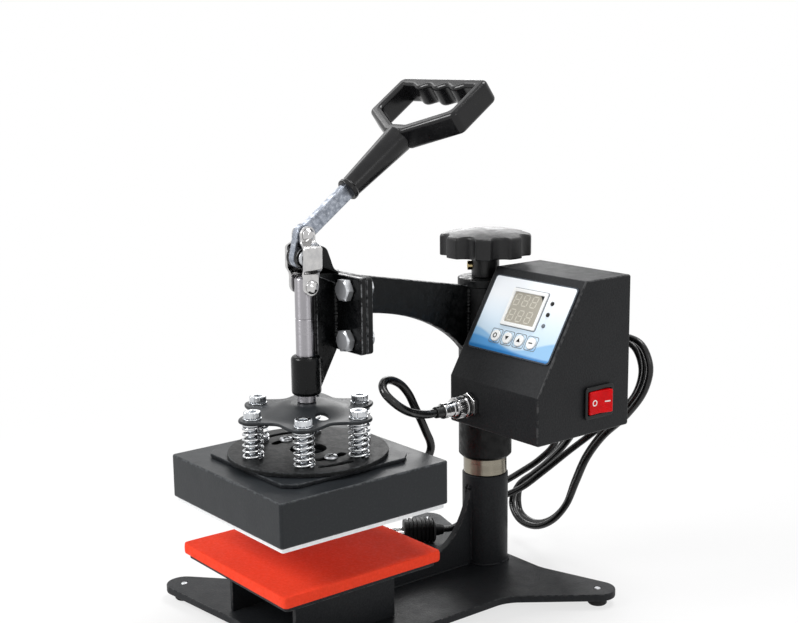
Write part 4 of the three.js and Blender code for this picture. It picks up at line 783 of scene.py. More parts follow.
class HEATPRESS_OT_stage(Operator):
    """Lays a pale floor and lights the press with a soft studio light"""

    bl_idname = "heatpress.stage"
    bl_label = "Stage"

    def execute(self, context):
        scene = context.scene
        scene.view_settings.view_transform = "Standard"
        world = bpy.data.worlds.new("studio")
        scene.world = world
        world.use_nodes = True
        tree = world.node_tree
        tree.nodes.clear()
        ends = {"Value": self.shown(tree), "To Min": 0.32, "To Max": 1.0}
        level = add(tree, "MapRange", {}, ends).outputs[0]
        light = add(tree, "Background", {}, {"Color": WHITE, "Strength": level})
        add(tree, "OutputWorld", {}, {"Surface": light.outputs[0]})
        reach = 6.0
        mesh = bpy.data.meshes.new("floor")
        corners = [(-reach, -reach, 0), (reach, -reach, 0), (reach, reach, 0), (-reach, reach, 0)]
        mesh.from_pydata(corners, [], [(0, 1, 2, 3)])
        mesh.materials.append(self.paper())
        floor = show("floor", mesh)
        for name, place, side, watts in (
            ("key", (-350, -1100, 900), 0.45, 11.0),
            ("fill", (1200, -150, 600), 0.4, 2.0),
            ("top", (150, 250, 1300), 0.5, 9.0),
            ("left", (-1000, -100, 1050), 0.4, 1.5),
            ("rear", (-950, 750, 540), 0.45, 2.0),
        ):
            data = bpy.data.lights.new(name, "AREA")
            data.shape = "SQUARE"
            data.size = side
            data.energy = watts
            lamp = show(name, data)
            towards = metres((0, -60, 150)) - metres(place)
            lamp.matrix_world = along(-towards, metres(place))
            lamp.visible_camera = False
        return {"FINISHED"}

    def shown(self, tree):
        """Is 1 for the rays that see the background: from the camera, off metal and through glass."""
        path = add(tree, "LightPath", {}, {})
        seen = path.outputs["Is Camera Ray"]
        for kind in ("Is Glossy Ray", "Is Transmission Ray"):
            both = {0: seen, 1: path.outputs[kind]}
            seen = add(tree, "Math", {"operation": "MAXIMUM"}, both).outputs[0]
        return seen

    def paper(self):
        """Matt background paper, which fades to the plain white of the world away from the press."""
        made = finish("background_paper", linear("#f4f4f4"), (), Roughness=0.95, IOR=1.45)
        tree = made.node_tree
        place = tree.nodes["Texture Coordinate"].outputs["Object"]
        far = add(tree, "VectorMath", {"operation": "LENGTH"}, {0: place}).outputs["Value"]
        ends = {"Value": far, "From Min": 0.25, "From Max": 0.6, "To Min": 0.72}
        fade = add(tree, "MapRange", {}, ends).outputs[0]
        both = {0: fade, 1: self.shown(tree)}
        share = add(tree, "Math", {"operation": "MULTIPLY"}, both).outputs[0]
        glow = add(tree, "Emission", {}, {"Color": WHITE, "Strength": 1.0}).outputs[0]
        paper = tree.nodes["Principled BSDF"].outputs[0]
        mixed = add(tree, "MixShader", {}, {0: share, 1: paper, 2: glow}).outputs[0]
        tree.links.new(mixed, tree.nodes["Material Output"].inputs["Surface"])
        return made


# Cords. Their routes are listed, and are the ones of the CAD cords

HEATER_CABLE_RADIUS = 2.7
POWER_CORD_RADIUS = 2.35

heater_cable_route = [
    (40, -79.5, 141), (40, -84.8, 141), (41, -96, 143.6), (44.5, -108, 149), (44.2, -115.8, 154.8),
    (40, -119, 159.8), (34.8, -117.6, 163.4), (29.8, -111.9, 165.2), (26, -103, 163.6), (25.5, -95.5, 159.3),
    (26.8, -90.5, 152.8), (27.5, -86, 143.5), (27.4, -80.5, 133), (27.1, -76, 124), (27, -73.1, 118.1),
    (27, -72.3, 113.5), (27, -73.9, 109.1), (27, -77.1, 106.4), (27, -81.6, 105.3), (27, -82.7, 105.3),
]
power_cord_route = [
    (60, 43.2, 168), (61, 52, 168.5), (70, 54, 172), (82, 54, 178), (95, 54, 175), (102.5, 54, 161.5),
    (98.5, 54, 144.5), (83.5, 54, 124.5), (63.5, 53, 105.5), (49, 52, 86), (41, 50, 67), (34.5, 47, 49),
    (23, 44.5, 34.5), (7, 43, 26), (-10.5, 43.5, 26.5), (-22, 47, 36), (-20, 52, 49), (-8, 57, 60.5),
    (5, 60, 73), (19, 61, 88), (31.5, 61.5, 106), (40, 61.5, 126), (46.5, 61.5, 146.5), (56.5, 61.5, 165),
    (70.5, 61.5, 175.5), (84.5, 61.5, 174), (92, 61.5, 160.5), (88.5, 61.5, 142.5), (73.5, 61.5, 123),
    (55, 60.5, 104), (41, 59, 84), (32, 57.5, 63.5), (24, 57, 44), (9, 57, 28.5), (-11, 59, 20.5),
    (-30, 63, 23.5), (-35, 67, 38), (-24, 69, 52), (-8, 69.5, 66), (7, 69.5, 83), (18.5, 69.5, 102),
    (26.5, 69.5, 123), (34.5, 69.5, 144), (46.5, 69, 162), (62, 68.5, 171), (76, 68.5, 168),
    (83, 68.5, 154.5), (79, 68, 137), (64, 66.5, 119), (45.5, 63, 102.5), (27.5, 57.5, 86), (9, 50, 67.5),
    (-9.5, 43, 50.5), (-27, 38.5, 41.5), (-43, 36, 43), (-52, 36, 56), (-50.5, 37.5, 74.5),
    (-40.5, 41, 93.5), (-24.5, 46, 110.5), (-4.5, 50, 120), (15, 50.5, 118), (25.5, 48.5, 106.5),
    (24, 45, 92.5), (12.5, 41, 78.5), (-3.5, 36.5, 65.5), (-20, 32.5, 53), (-32.5, 27, 40.5),
    (-39.5, 19.5, 30), (-40, 9.5, 22), (-42.1, 2.8, 19.9), (-44.46, -1.06, 19.8),
]


# The plug lies on the base, with its own X along its heading
PLUG = shift(-47.8, -6.4, base.top + 8.8) @ Matrix.Rotation(radians(-122), 4, "Z")


class HEATPRESS_OT_power_cord(Operator):
    """Runs the power cord from the gland in the box's back to its plug, wound for storage"""

    bl_idname = "heatpress.power_cord"
    bl_label = "Power cord"

    def execute(self, context):
        colours = context.scene.heat_press_colours
        sheath = soft_pvc("extruded_pvc", colours.cord)
        line = smooth_line(power_cord_route, 6)
        curve = bpy.data.curves.new("power_cord", "CURVE")
        curve.dimensions = "3D"
        curve.bevel_depth = POWER_CORD_RADIUS / MM
        curve.bevel_resolution = 4
        curve.use_fill_caps = True
        curve.materials.append(sheath)
        spline = curve.splines.new("POLY")
        spline.points.add(len(line) - 1)
        for point, at in zip(spline.points, line):
            point.co = (*metres(at), 1)
        spline.use_smooth = True
        cord = show("power_cord", curve)
        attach(cord, "arm")
        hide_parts("power_cord")
        gland = piece("cord_gland", "arm", sheath, [self.gland()])
        sleeve = piece("cord_sleeve", "arm", sheath, [self.sleeve(line)], ())
        matt = moulded("moulded_pvc", colours.cord, 0.5, 0.08)
        grip = piece("power_plug", "arm", matt, self.plug())
        pins = piece("plug_pins", "arm", bright_plate("nickel_plate"), self.pins(), ())
        return {"FINISHED"}

    def gland(self):
        """A flanged nut with six flats, which screws into the back cover."""
        face = box.back + 0.3
        inside = box.back - 1.8
        profile = [
            (3.0, inside), (5.9, inside, 0.3), (5.9, face), (8.0, face, 0.4), (8.0, face + 3, 0.8),
            (6.6, face + 3.4, 0.4), (6.4, face + 6.5, 0.8), (4.6, face + 9, 0.8), (3.0, face + 9),
        ]

        def flats(angle, radius, height):
            return min(radius, 7.2 / cos(off_flat(angle))) if height > face else radius

        return lathe(profile, 72, flats, closed=True, at=along((0, 1, 0), (60, 0, 168)))

    def sleeve(self, line):
        """The tapered strain relief, with a groove every few millimetres."""
        reach, pitch, groove_width, groove_depth = 24.0, 3.2, 1.1, 0.35
        far = 0.0
        points = [line[0] - Vector((0, 1.5, 0))]
        steps = [0.0]
        fine = smooth_line([points[0]] + power_cord_route[:5], 40)
        for before, after in zip(fine, fine[1:]):
            far += (after - before).length
            if far < reach:
                points.append(after)
                steps.append(far)

        def taper(i):
            share = steps[i] / reach
            groove = groove_depth if 0.12 < share < 0.92 and (steps[i] % pitch) < groove_width else 0.0
            return 4.6 - 1.4 * share - groove

        return tube(points, taper, 24)

    def plug(self):
        """A ribbed grip with a rounded section, and the neck that the cord enters."""
        grip_length, rows, rib_depth = 24.0, 81, 1.1
        rings = []
        for i in range(rows):
            share = i / (rows - 1)
            rib = rib_depth if (share * 8) % 1 > 0.6 and 0.04 < share < 0.9 else 0.0
            ends = min(1.0, 0.72 + share * 4, 0.8 + (1 - share) * 8)
            half = (7.5 - rib) * ends
            tall = (8.5 - rib) * ends
            ring = rectangle(-half, -tall, half, tall, 4 * ends, 5)
            rings.append([(grip_length * share, y, z) for y, z in ring])
        neck = lathe([(0, -6), (3.6, -6, 0.5), (5, 2), (0, 2)], 32, at=along((1, 0, 0), (0, 0, 0)))
        return [moved(part, PLUG) for part in (loft(rings), neck)]

    def pins(self):
        """Two round pins."""
        profile = [(0, 22), (2, 22), (2, 36, 1.2), (0, 36)]
        return [lathe(profile, 24, at=PLUG @ along((1, 0, 0), (0, side * 4.5, 0))) for side in (-1, 1)]


class HEATPRESS_OT_heater_cable(Operator):
    """Loops the heater's cable from its screwed connector to the gland in the cover"""

    bl_idname = "heatpress.heater_cable"
    bl_label = "Heater cable"

    def execute(self, context):
        sheath = soft_pvc("extruded_pvc", context.scene.heat_press_colours.cord)
        nickel = bright_plate("nickel_plate")
        line = smooth_line(heater_cable_route, 8)
        x, face, z = 40.0, -box.front, 141.0
        front = along((0, -1, 0), (x, 0, z))
        start = face + 4.0
        ring = [
            (6.1, 0), (7.2, 0, 0.5), (7.2, 3.2, 0.3), (6.7, 3.5, 0.3), (6.7, 4.3, 0.3), (7.2, 4.6, 0.3),
            (7.2, 10, 0.7), (5.3, 10, 0.2), (5.3, 13, 0.3), (4.7, 13.4, 0.2), (4.7, 17, 0.3),
            (5.1, 17.4, 0.3), (5.1, 21, 0.6), (3.2, 21),
        ]
        ring = [(radius, start + height, *rest) for radius, height, *rest in ring]

        def knurl(angle, radius, height):
            """Straight knurling round the screwed ring."""
            on_ring = start + 4.4 < height < start + 9.6 and radius > 7
            return radius - (0.3 if on_ring and round(angle * 120 / (2 * pi)) % 4 < 2 else 0)

        barrel = [(4.6, face - 10), (5.8, face - 10, 0.4), (5.8, face + 9, 0.3), (4.6, face + 9)]
        neck, end = start + 20.5, start + 26.5
        tail = [(2.9, neck), (4.1, neck, 0.3), (3.7, end, 0.6), (2.9, end)]
        nuts = [
            plate([hexagon(15), circle(5.7)], 0, 3.4, 0.4, at=shift(x, y, z) @ FRONT)
            for y in (-face - 0.3, -face + 5.2)
        ]
        piece("cable_socket", "arm", nickel, [lathe(barrel, 48, closed=True, at=front), *nuts])
        screwed = lathe(ring, 120, knurl, 2, closed=True, at=front)
        plug = piece("cable_plug", "arm", nickel, [screwed], crease=25)
        relief = lathe(tail, 40, closed=True, at=front)
        boot = piece("cable_boot", "arm", sheath, [relief], ())
        swept = tube(line, HEATER_CABLE_RADIUS, 20)
        cable = piece("heater_cable", None, sheath, [swept], even=False)
        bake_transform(cable)
        return {"FINISHED"}


# Base, column and table


FRONT_LEG = (98, head_y - 39)
REAR_LEG = (90, 21)
legs = {
    "front_left": (-FRONT_LEG[0], FRONT_LEG[1]),
    "front_right": FRONT_LEG,
    "rear_left": (-REAR_LEG[0], REAR_LEG[1]),
    "rear_right": REAR_LEG,
}


class HEATPRESS_OT_base(Operator):
    """Cuts the base plate with its four round leg tips, and puts the screws and rubber feet in them"""

    bl_idname = "heatpress.base"
    bl_label = "Base plate and feet"

    def execute(self, context):
        sizes, colours = sidebar_values(context)
        paint = powder_coat("powder_coat", colours.frame_paint)
        rubber = moulded("moulded_rubber", linear("#131313"), 0.6, 0.12)
        half = self.half_outline()
        mirrored = [(-x, y, *radius) for x, y, *radius in reversed(half)]
        screw_hole = 2.4
        lines = [outline(half + mirrored, 14)] + [circle(screw_hole, x, y, 24) for x, y in legs.values()]
        sheet = plate(lines, base.low, base.top, sizes.sheet_edge * MM)
        piece("base_plate", "base", paint, [sheet])
        screw = [(0, 0), (2.2, 0), (2.2, 4.9, 0.6), (1.2, 5.2, 0.3), (0, 5.3)]
        heads = [lathe(screw, 32, at=shift(x, y, base.low)) for x, y in legs.values()]
        piece("leg_screws", "base", zinc_plate("zinc_plate"), heads, ())
        foot = [(0, 0), (5.7, 0, 0.5), (6.5, 0.9, 0.4), (6.2, 5.7, 0.8), (0, 5.7)]
        for name, (x, y) in legs.items():
            piece("foot_" + name, "base", rubber, [lathe(foot, 40, at=shift(x, y))])
        return {"FINISHED"}

    def half_outline(self):
        """The right half of the plate, counterclockwise from the middle of its front edge."""
        tip = 12.0
        front_corner, rear_corner = (25, head_y - 44), (39, 17.7)
        waist_front, waist_rear = (61, head_y + 10), (61, -36)

        def touch(corner, middle, side):
            """The angle at which a line from the corner touches the tip's arc."""
            run = (middle[0] - corner[0], middle[1] - corner[1])
            return atan2(run[1], run[0]) + side * (asin(tip / hypot(*run)) + pi / 2)

        def around(leg, before, after):
            return arc(*leg, tip, touch(before, leg, -1), touch(after, leg, 1), 16)

        return [
            (*front_corner, 60),
            *around(FRONT_LEG, front_corner, waist_front),
            (*waist_front, 26),
            (*waist_rear, 26),
            *around(REAR_LEG, waist_rear, rear_corner),
            (*rear_corner, 30),
        ]


class HEATPRESS_OT_column(Operator):
    """Stands the column with its gusset on the base, with the bright post and its washer in it"""

    bl_idname = "heatpress.column"
    bl_label = "Column and post"

    def execute(self, context):
        sizes, colours = sidebar_values(context)
        paint = powder_coat("powder_coat", colours.frame_paint)
        steel = turned_steel("turned_steel")
        low, top, radius = column_box.low, column_box.top, column_box.right
        wall = 2.6
        profile = [(radius - wall, low), (radius, low), (radius, top, 0.6), (radius - wall, top, 0.5)]
        toe, root = column_box.front, -radius + wall / 2
        run = toe - root
        gusset_height = 57
        height, ledge = low + gusset_height, low + 11
        bend = (root + run * 0.1, low + gusset_height * 0.3)
        pull = [(root, height), bend, (root + run * 0.3, ledge), (root + run * 0.62, ledge)]
        line = [(root, low), *bezier(pull, 24), (toe, ledge), (toe, low)]
        weld = sizes.weld_bead * MM
        beads = []
        for x in (-2.6, 2.6):
            up = [(x * 0.6, -radius - 0.4, height - 3), (x * 0.6, -radius - 0.2, height + 0.6)]
            beads.append(bead([(x, root - 2, low + 0.2), (x, toe + 4, low + 0.2)], weld * 0.5))
            beads.append(bead([(x, -radius + 0.2, low + 1), (x, -radius + 0.2, height - 3)], weld * 0.5))
            beads.append(bead(up, weld * 1.2))
        around = [(x, y, low + 0.2) for x, y in circle(radius + 0.2, sides=40)]
        beads.append(bead(around + around[:1], weld * 0.5))
        piece("column", "base", paint, [
            lathe(profile, 96, closed=True),
            plate([line], -2.5, 2.5, sizes.sheet_edge * MM, at=SIDE),
            *beads,
        ])
        spigot, shoulder = radius - wall - 0.3, top + 0.3
        bore_radius, bore = 5.8, post.top - 60
        profile = [
            (0, post.low), (spigot, post.low), (spigot, shoulder), (post.right, shoulder, 0.5),
            (post.right, post.top, 0.5), (bore_radius, post.top), (bore_radius, bore), (0, bore),
        ]
        piece("inner_post", "base", steel, [lathe(profile, 96)])
        keep("thrust_washer", steel)
        return {"FINISHED"}


class HEATPRESS_OT_table(Operator):
    """Folds the pedestal and lays the table and the silicone pad on it"""

    bl_idname = "heatpress.table"
    bl_label = "Pedestal, table and pad"

    def execute(self, context):
        sizes, colours = sidebar_values(context)
        paint = powder_coat("powder_coat", colours.frame_paint)
        p, t = pedestal_box, table_box
        wall = 3.0
        edge = sizes.sheet_edge * MM
        section = outline([
            (p.left, p.low), (p.left + wall, p.low), (p.left + wall, p.top - wall, 1.5),
            (p.right - wall, p.top - wall, 1.5), (p.right - wall, p.low), (p.right, p.low),
            (p.right, p.top, 4.5), (p.left, p.top, 4.5),
        ])
        folded = plate([section], -p.back, -p.front, edge, at=FRONT)
        piece("pedestal", "base", paint, [folded])
        sheet = plate([rectangle(t.left, t.front, t.right, t.back, 2.5)], t.low, t.top, edge)
        piece("platen_table", "base", paint, [sheet])
        foam = silicone_foam("silicone_foam", colours.pad)
        pad = piece("press_pad", "base", foam, [self.pad()], crease=80, even=False)
        return {"FINISHED"}

    def pad(self):
        """A foam sheet, cut with a knife: its edges bow a little and its skin is not quite flat."""
        p = pad_box
        half, thick = (p.right - p.left) / 2, p.top - p.low
        # The section from the middle of the underside, round the cut edge, to the middle of the top
        rows = [(half * k / 14, 0.0) for k in range(14)]
        for k in range(13):
            turn = -pi / 2 + pi * k / 12
            inward = 0.9 * (1 - max(0.0, cos(turn)) ** 0.4)
            rows.append((half - 0.25 - inward, thick / 2 + thick / 2 * sin(turn)))
        rows += [(half * (13 - k) / 14, thick) for k in range(14)]
        rings = []
        for reach, height in rows:
            ring = []
            side = max(reach, 1e-3)
            for x, y in self.square(side, min(2.5, max(reach - 1e-3, 1e-4))):
                at = Vector((x, y, height))
                wave = noise.noise(at / 16) + 0.5 * noise.noise(at / 5)
                drop = height / thick * (0.22 - 0.22 * wave) if height > 0.5 * thick else 0.0
                pull = 1 - 0.0022 * (1 + wave) * (side / half) ** 6
                ring.append((p.x + x * pull, p.y + y * pull, p.low + height - drop))
            rings.append(ring)
        return loft(rings)

    def square(self, side, corner):
        """Points round a square, with its corners pulled in to a radius."""
        count = 60
        points = []
        for k in range(4 * count):
            a, b = side * ((k % count) / count * 2 - 1), -side
            x, y = ((a, b), (-b, a), (-a, -b), (b, -a))[k // count]
            over_x, over_y = abs(x) - (side - corner), abs(y) - (side - corner)
            if over_x > 0 and over_y > 0:
                grow = corner / hypot(over_x, over_y)
                if grow < 1:
                    x = (side - corner + over_x * grow) * (1 if x > 0 else -1)
                    y = (side - corner + over_y * grow) * (1 if y > 0 else -1)
            points.append((x, y))
        return points


# Arm, bracket and their bolts


def flange(front, back, edge):
    """A square flange with four bolt holes."""
    low, height, half_width = 184.0, 48.5, 30
    line = rectangle(-half_width, low, half_width, low + height, 2.5)
    holes = [circle(4.3, x, z, 32) for x, z in ((bolt.x, bolt.z) for bolt in flange_bolts)]
    return plate([line, *holes], -back, -front, edge, at=FRONT)


class HEATPRESS_OT_arm(Operator):
    """Welds the swing arm from its collar, side plate and flange"""

    bl_idname = "heatpress.arm"
    bl_label = "Swing arm"

    def execute(self, context):
        sizes, colours = sidebar_values(context)
        paint = gloss_enamel("satin_enamel", colours.arm_paint, 0.42)
        edge, weld = sizes.sheet_edge * MM, sizes.weld_bead * MM
        low, top = arm_box.low, knob_box.low - 0.3
        bore, radius, lip, screw_hole = 15.6, 18.6, 19.1, 5.3
        profile = [
            (bore, low), (radius - 2.2, low, 0.6), (radius, low + 2.2, 0.8), (radius, top - 5.4, 0.5),
            (lip, top - 5.0, 0.3), (lip, top, 0.8), (screw_hole, top, 0.3), (screw_hole, top - 7),
            (bore, top - 7),
        ]
        root, tip = -(bore + radius) / 2, arm_box.front + 4.5
        root_top = top - 4.1
        root_low = root_top - 51.5
        tip_low, tip_top = 204.5, 231.2
        run = tip - root
        bend = (root + run * 0.12, root_low + (tip_low - root_low) * 0.55)
        pull = [(root, root_low), bend, (root + run * 0.55, tip_low), (tip, tip_low)]
        line = [*bezier(pull, 32), (tip, tip_top), (root, root_top)]
        beads = []
        for x in (-3.1, 3.1):
            at_flange, at_collar = tip + 0.2, -radius + 0.4
            beads.append(bead([(x, at_flange, tip_low + 0.5), (x, at_flange, tip_top - 0.5)], weld))
            beads.append(bead([(x, at_collar, root_low + 3), (x, at_collar, root_top - 1)], weld * 1.1))
        beads.append(bead([(-2.4, tip + 0.4, tip_low), (2.4, tip + 0.4, tip_low)], weld * 0.8))
        piece("swing_arm", "arm", paint, [
            lathe(profile, 96, closed=True),
            plate([line], -3, 3, edge, 2, at=SIDE),
            flange(arm_box.front, tip, edge),
            *beads,
        ])
        return {"FINISHED"}


class HEATPRESS_OT_bracket(Operator):
    """Welds the head bracket from its flange, web, two-eared fork and guide sleeve"""

    bl_idname = "heatpress.bracket"
    bl_label = "Head bracket"

    def execute(self, context):
        sizes, colours = sidebar_values(context)
        paint = gloss_enamel("gloss_enamel", colours.arm_paint)
        edge, weld = sizes.sheet_edge * MM, sizes.weld_bead * MM
        back = bracket_box.back
        front = back - 4
        root = front + 1
        low, high = bracket_box.low, bracket_box.low + 25.3
        web_low, web_top = 185.0, 233.0
        shoulder_y, shoulder_z = head_y + 20, 234.0
        rod_back, sleeve_back = head_y + 7.2, head_y + 9.1
        web = outline([
            (root, web_low), (root, web_top), (shoulder_y, web_top), (rod_back, shoulder_z),
            (rod_back, high - 2.6), (sleeve_back, high - 2.6), (sleeve_back, low + 2.6),
        ])
        ear_low, ear_top = pivot
        reach = 6.5
        ear_front, foot = ear_low - reach, ear_top - 2 * reach
        corner = reach - 0.01
        ear = outline([
            (root, foot - 6.5), (root, shoulder_z, 1), (shoulder_y, shoulder_z, reach),
            (shoulder_y - reach, ear_top + reach, reach), (ear_front, ear_top + reach, corner),
            (ear_front, ear_top - reach, corner), (rod_back + 0.3, ear_top - reach), (rod_back + 0.3, foot),
        ], 10)
        throat = head_y + 10.5
        filler = outline([
            (root, foot - 6.5), (root, shoulder_z - 0.1, 1), (shoulder_y, shoulder_z - 0.1, reach),
            (shoulder_y - reach, ear_top + reach - 0.1, reach - 1), (throat, ear_top + reach - 0.1, 0.5),
            (throat, foot - 6.5),
        ], 10)
        pin_hole = circle(3.8, *pivot, 32)
        bore, sleeve_radius = 6.3, 9.4
        sleeve = [(bore, low, 0.3), (sleeve_radius, low, 2.6), (sleeve_radius, high, 2.6), (bore, high, 0.3)]
        beads = []
        for x in (-2.9, 2.9):
            beads.append(bead([(x, front + 0.1, web_low + 1), (x, front + 0.1, web_top - 1)], weld * 1.15))
            beads.append(bead([(x, head_y + 8.8, low + 5), (x, head_y + 8.8, high - 3)], weld))
        piece("head_bracket", "arm", paint, [
            flange(front, back, edge),
            plate([web], -2.8, 2.8, edge, at=SIDE),
            plate([ear, pin_hole], 2.8, 5.7, edge, at=SIDE),
            plate([ear, pin_hole], -5.7, -2.8, edge, at=SIDE),
            plate([filler], -2.9, 2.9, 0, at=SIDE),
            lathe(sleeve, 64, closed=True, at=shift(0, head_y)),
            *beads,
        ])
        return {"FINISHED"}


class HEATPRESS_OT_bolts(Operator):
    """Screws the two flanges together with four hexagon bolts and nuts"""

    bl_idname = "heatpress.bolts"
    bl_label = "Flange bolts"

    def execute(self, context):
        zinc = zinc_plate("zinc_plate")
        head = [(0, 0), (5.7, 0, 0.3), (7.6, 0.9), (7.6, 4.6), (6.2, 5.2, 0.2), (6.2, 5.3), (0, 5.3)]
        nut = [(0, 0), (6.3, 0), (7.6, 0.8, 0.2), (7.6, 5.7, 0.2), (6.3, 6.5), (0, 6.5)]

        def flats(angle, radius, height):
            """Six flats, 13 mm across, that the profile chamfers."""
            return min(radius, 13 / 2 / cos(off_flat(angle)))

        for number, bolt in enumerate(flange_bolts, 1):
            x, z, head_back = bolt.x, bolt.z, bolt.front + 5.3
            grip = bolt.back - head_back
            shank = [(0, 0), (4, 0), (4, grip, 0.6), (0, grip)]
            turn = Matrix.Rotation(radians(7 * number), 4, "Z")
            piece("flange_bolt_%d" % number, "arm", zinc, [
                lathe(head, 96, flats, 3, at=along((0, 1, 0), (x, bolt.front, z)) @ turn),
                lathe(nut, 96, flats, 3, at=along((0, 1, 0), (x, bolt.back - 8.5, z)) @ turn),
                lathe(shank, 40, at=along((0, 1, 0), (x, head_back, z))),
            ], crease=18)
        return {"FINISHED"}


# Toggle and handle


def on_handle(distance, offset=0.0):
    """A point of the lever's plane, by its distance along the handle and its offset from its line."""
    return crank_pin + Vector((
        distance * cos(lever_angle) - offset * sin(lever_angle),
        distance * sin(lever_angle) + offset * cos(lever_angle),
    ))


def headed_pin(half, radius, head_radius, head_height, at, dome=0.5):
    """A pin with a domed head at each end."""
    end = half + head_height
    crown = head_radius * dome
    return lathe([
        (0, -end), (crown, -end, 1.5), (head_radius, -half - 0.5, 0.5), (head_radius, -half),
        (radius, -half), (radius, half), (head_radius, half), (head_radius, half + 0.5, 0.5),
        (crown, end, 1.5), (0, end),
    ], 40, at=along((1, 0, 0), (0, *at)))


class HEATPRESS_OT_toggle(Operator):
    """Hangs the lever bar in the fork, with its pins and the two joggled links"""

    bl_idname = "heatpress.toggle"
    bl_label = "Toggle"

    def execute(self, context):
        zinc = zinc_plate("zinc_plate")
        nickel = bright_plate("nickel_plate")
        piece("pivot_pin", "arm", zinc, [headed_pin(6.0, 3.5, 5, 1.6, pivot, 0.75)])
        piece("lever_bar", "lever", galvanised("hot_dip_galvanised"), [self.bar()])
        piece("lever_rivet", "lever", nickel, [headed_pin(5.3, 2.2, 4.3, 2.8, crank_pin)])
        lean = atan2(low_pin.x - crank_pin.x, crank_pin.y - low_pin.y)
        frame_of_link = shift(0, *low_pin) @ Matrix.Rotation(lean, 4, "X")
        stub = [(0, 0), (4.4, 0), (4.3, 0.9, 0.5), (3.2, 2.3, 1.2), (1.2, 3.0, 1.0), (0, 3.0)]
        for side, name in ((-1, "left"), (1, "right")):
            piece("link_plate_" + name, "links", nickel, [
                moved(self.link(side), frame_of_link),
                lathe(stub, 48, at=frame_of_link @ along((side, 0, 0), (side * 8.5, 0, 0))),
            ])
        return {"FINISHED"}

    def bar(self):
        """An elbow: the boss from the pivot to the crank pin, and the bar that goes on into the handle."""
        boss, half = 6.7, 5.0
        lean = atan2(crank_pin.y - pivot.y, crank_pin.x - pivot.x)
        # The bar leaves the boss's round end where that is as wide as the bar
        meet = on_handle(sqrt(boss ** 2 - half ** 2), half)
        start_of_arc = atan2(meet.y - crank_pin.y, meet.x - crank_pin.x)
        # Where the bar's lower side runs into the boss's right side
        turn = lever_angle - lean
        corner = on_handle((boss * cos(turn) - half) / sin(turn), -half)
        corners = [
            *arc(*on_handle(58), half, lever_angle - pi / 2, lever_angle + pi / 2, 16),
            *arc(*crank_pin, boss, start_of_arc, lean + pi / 2, 10),
            *arc(*pivot, boss, lean + pi / 2, lean + 3 * pi / 2, 20),
            (*corner, 3),
        ]
        return plate([outline(corners)], -2.5, 2.5, 0.6, 2, at=SIDE)

    def link(self, side):
        """A plate that is cut to a waisted outline, and set out round the fork between its ends."""
        far = (crank_pin - low_pin).length
        end_radius, waist_radius, thickness = 5.5, 6.8, 2.4
        low_face, bow, high_face = 6.3, 8.5, 2.8
        rows = 72
        rings = []
        for i in range(rows + 1):
            z = -end_radius + (far + 2 * end_radius) * (1 - cos(pi * i / rows)) / 2
            reach = 0.02
            for centre in (0, far):
                if abs(z - centre) < end_radius:
                    reach = max(reach, sqrt(end_radius ** 2 - (z - centre) ** 2))
            if 0 <= z <= far:
                bulge = min(smooth(z, 5, 12), 1 - smooth(z, far - 9, far - 3))
                reach = max(reach, end_radius + (waist_radius - end_radius) * bulge)
            rise = ramp(z, 7.6, 11.2) * (bow - low_face)
            fall = ramp(z, far - 7.9, far - 3.6) * (bow - high_face)
            x = low_face + rise - fall
            ring = rectangle(x, -reach, x + thickness, reach, min(0.6, reach), 3)
            rings.append([(side * a, b, z) for a, b in ring])
        return loft(rings)


def part_way(value, start, end):
    """0 before start, 1 after end, and even between them."""
    return max(0.0, min(1.0, (value - start) / (end - start)))


def ramp(value, start, end):
    """0 before start, 1 after end, and a straight slope with short bends between them."""
    share = part_way(value, start, end)
    return share - 0.06 * sin(2 * pi * share)


def smooth(value, start, end):
    """0 before start, 1 after end, and an even curve between them."""
    share = part_way(value, start, end)
    return share * share * (3 - 2 * share)


class HEATPRESS_OT_handle(Operator):
    """Moulds the handle: a tapered sleeve on the lever and a ring with finger notches"""

    bl_idname = "heatpress.handle"
    bl_label = "Handle"

    def execute(self, context):
        sizes, colours = sidebar_values(context)
        plastic = moulded("polished_pp", colours.plastic, 0.24, 0.01, Specular_IOR_Level=0.32)
        neck, shoulder, end, half, neck_half, bar = 92.0, 110.3, 146.3, 43.0, 9.0, 7.5
        right = [(neck_half, neck), (half, shoulder), (half, end)]
        corners = [(-neck_half, neck), *right, (-half, end), (-half, shoulder)]
        outer = outline([(x, y, 0 if i < 2 else 5.0) for i, (x, y) in enumerate(corners)], 10)
        inner = inset(corners, bar)
        start, far_end = inner[3], inner[4]
        notches, per_notch = 4, 12
        wave = []
        for k in range(notches * per_notch + 1):
            share = k / (notches * per_notch)
            middle = 0.5 / notches < share < 1 - 0.5 / notches
            depth = (0.5 + 0.5 * cos(2 * pi * notches * share)) ** 0.8 if middle else 0.0
            wave.append((
                start[0] + (far_end[0] - start[0]) * share,
                start[1] - sizes.finger_notch * MM * depth,
            ))
        window = [(*inner[0], 2.5), (*inner[1], 2.5), (*inner[2], 4), *wave, (*inner[5], 4)]
        low = 41.5
        profile = [
            (0, low), (7.5, low, 0.8), (7.5, low + 2.6, 0.6), (6.9, low + 3.6, 0.5), (9.6, neck + 1, 0.8),
            (8.8, neck + 2.2, 1.2), (0, neck + 2.6),
        ]
        ahead = Vector((0, cos(lever_angle), sin(lever_angle)))
        right_side = Vector((1, 0, 0))
        lay = shift(0, *crank_pin) @ laid(right_side, ahead, right_side.cross(ahead))
        piece("handle_grip", "lever", plastic, [
            plate([outer, outline(window, 8)], -8, 8, sizes.handle_edge * MM, 4, at=lay),
            lathe(profile, 96, None, 5, at=lay @ Matrix.Rotation(-pi / 2, 4, "X")),
        ])
        return {"FINISHED"}


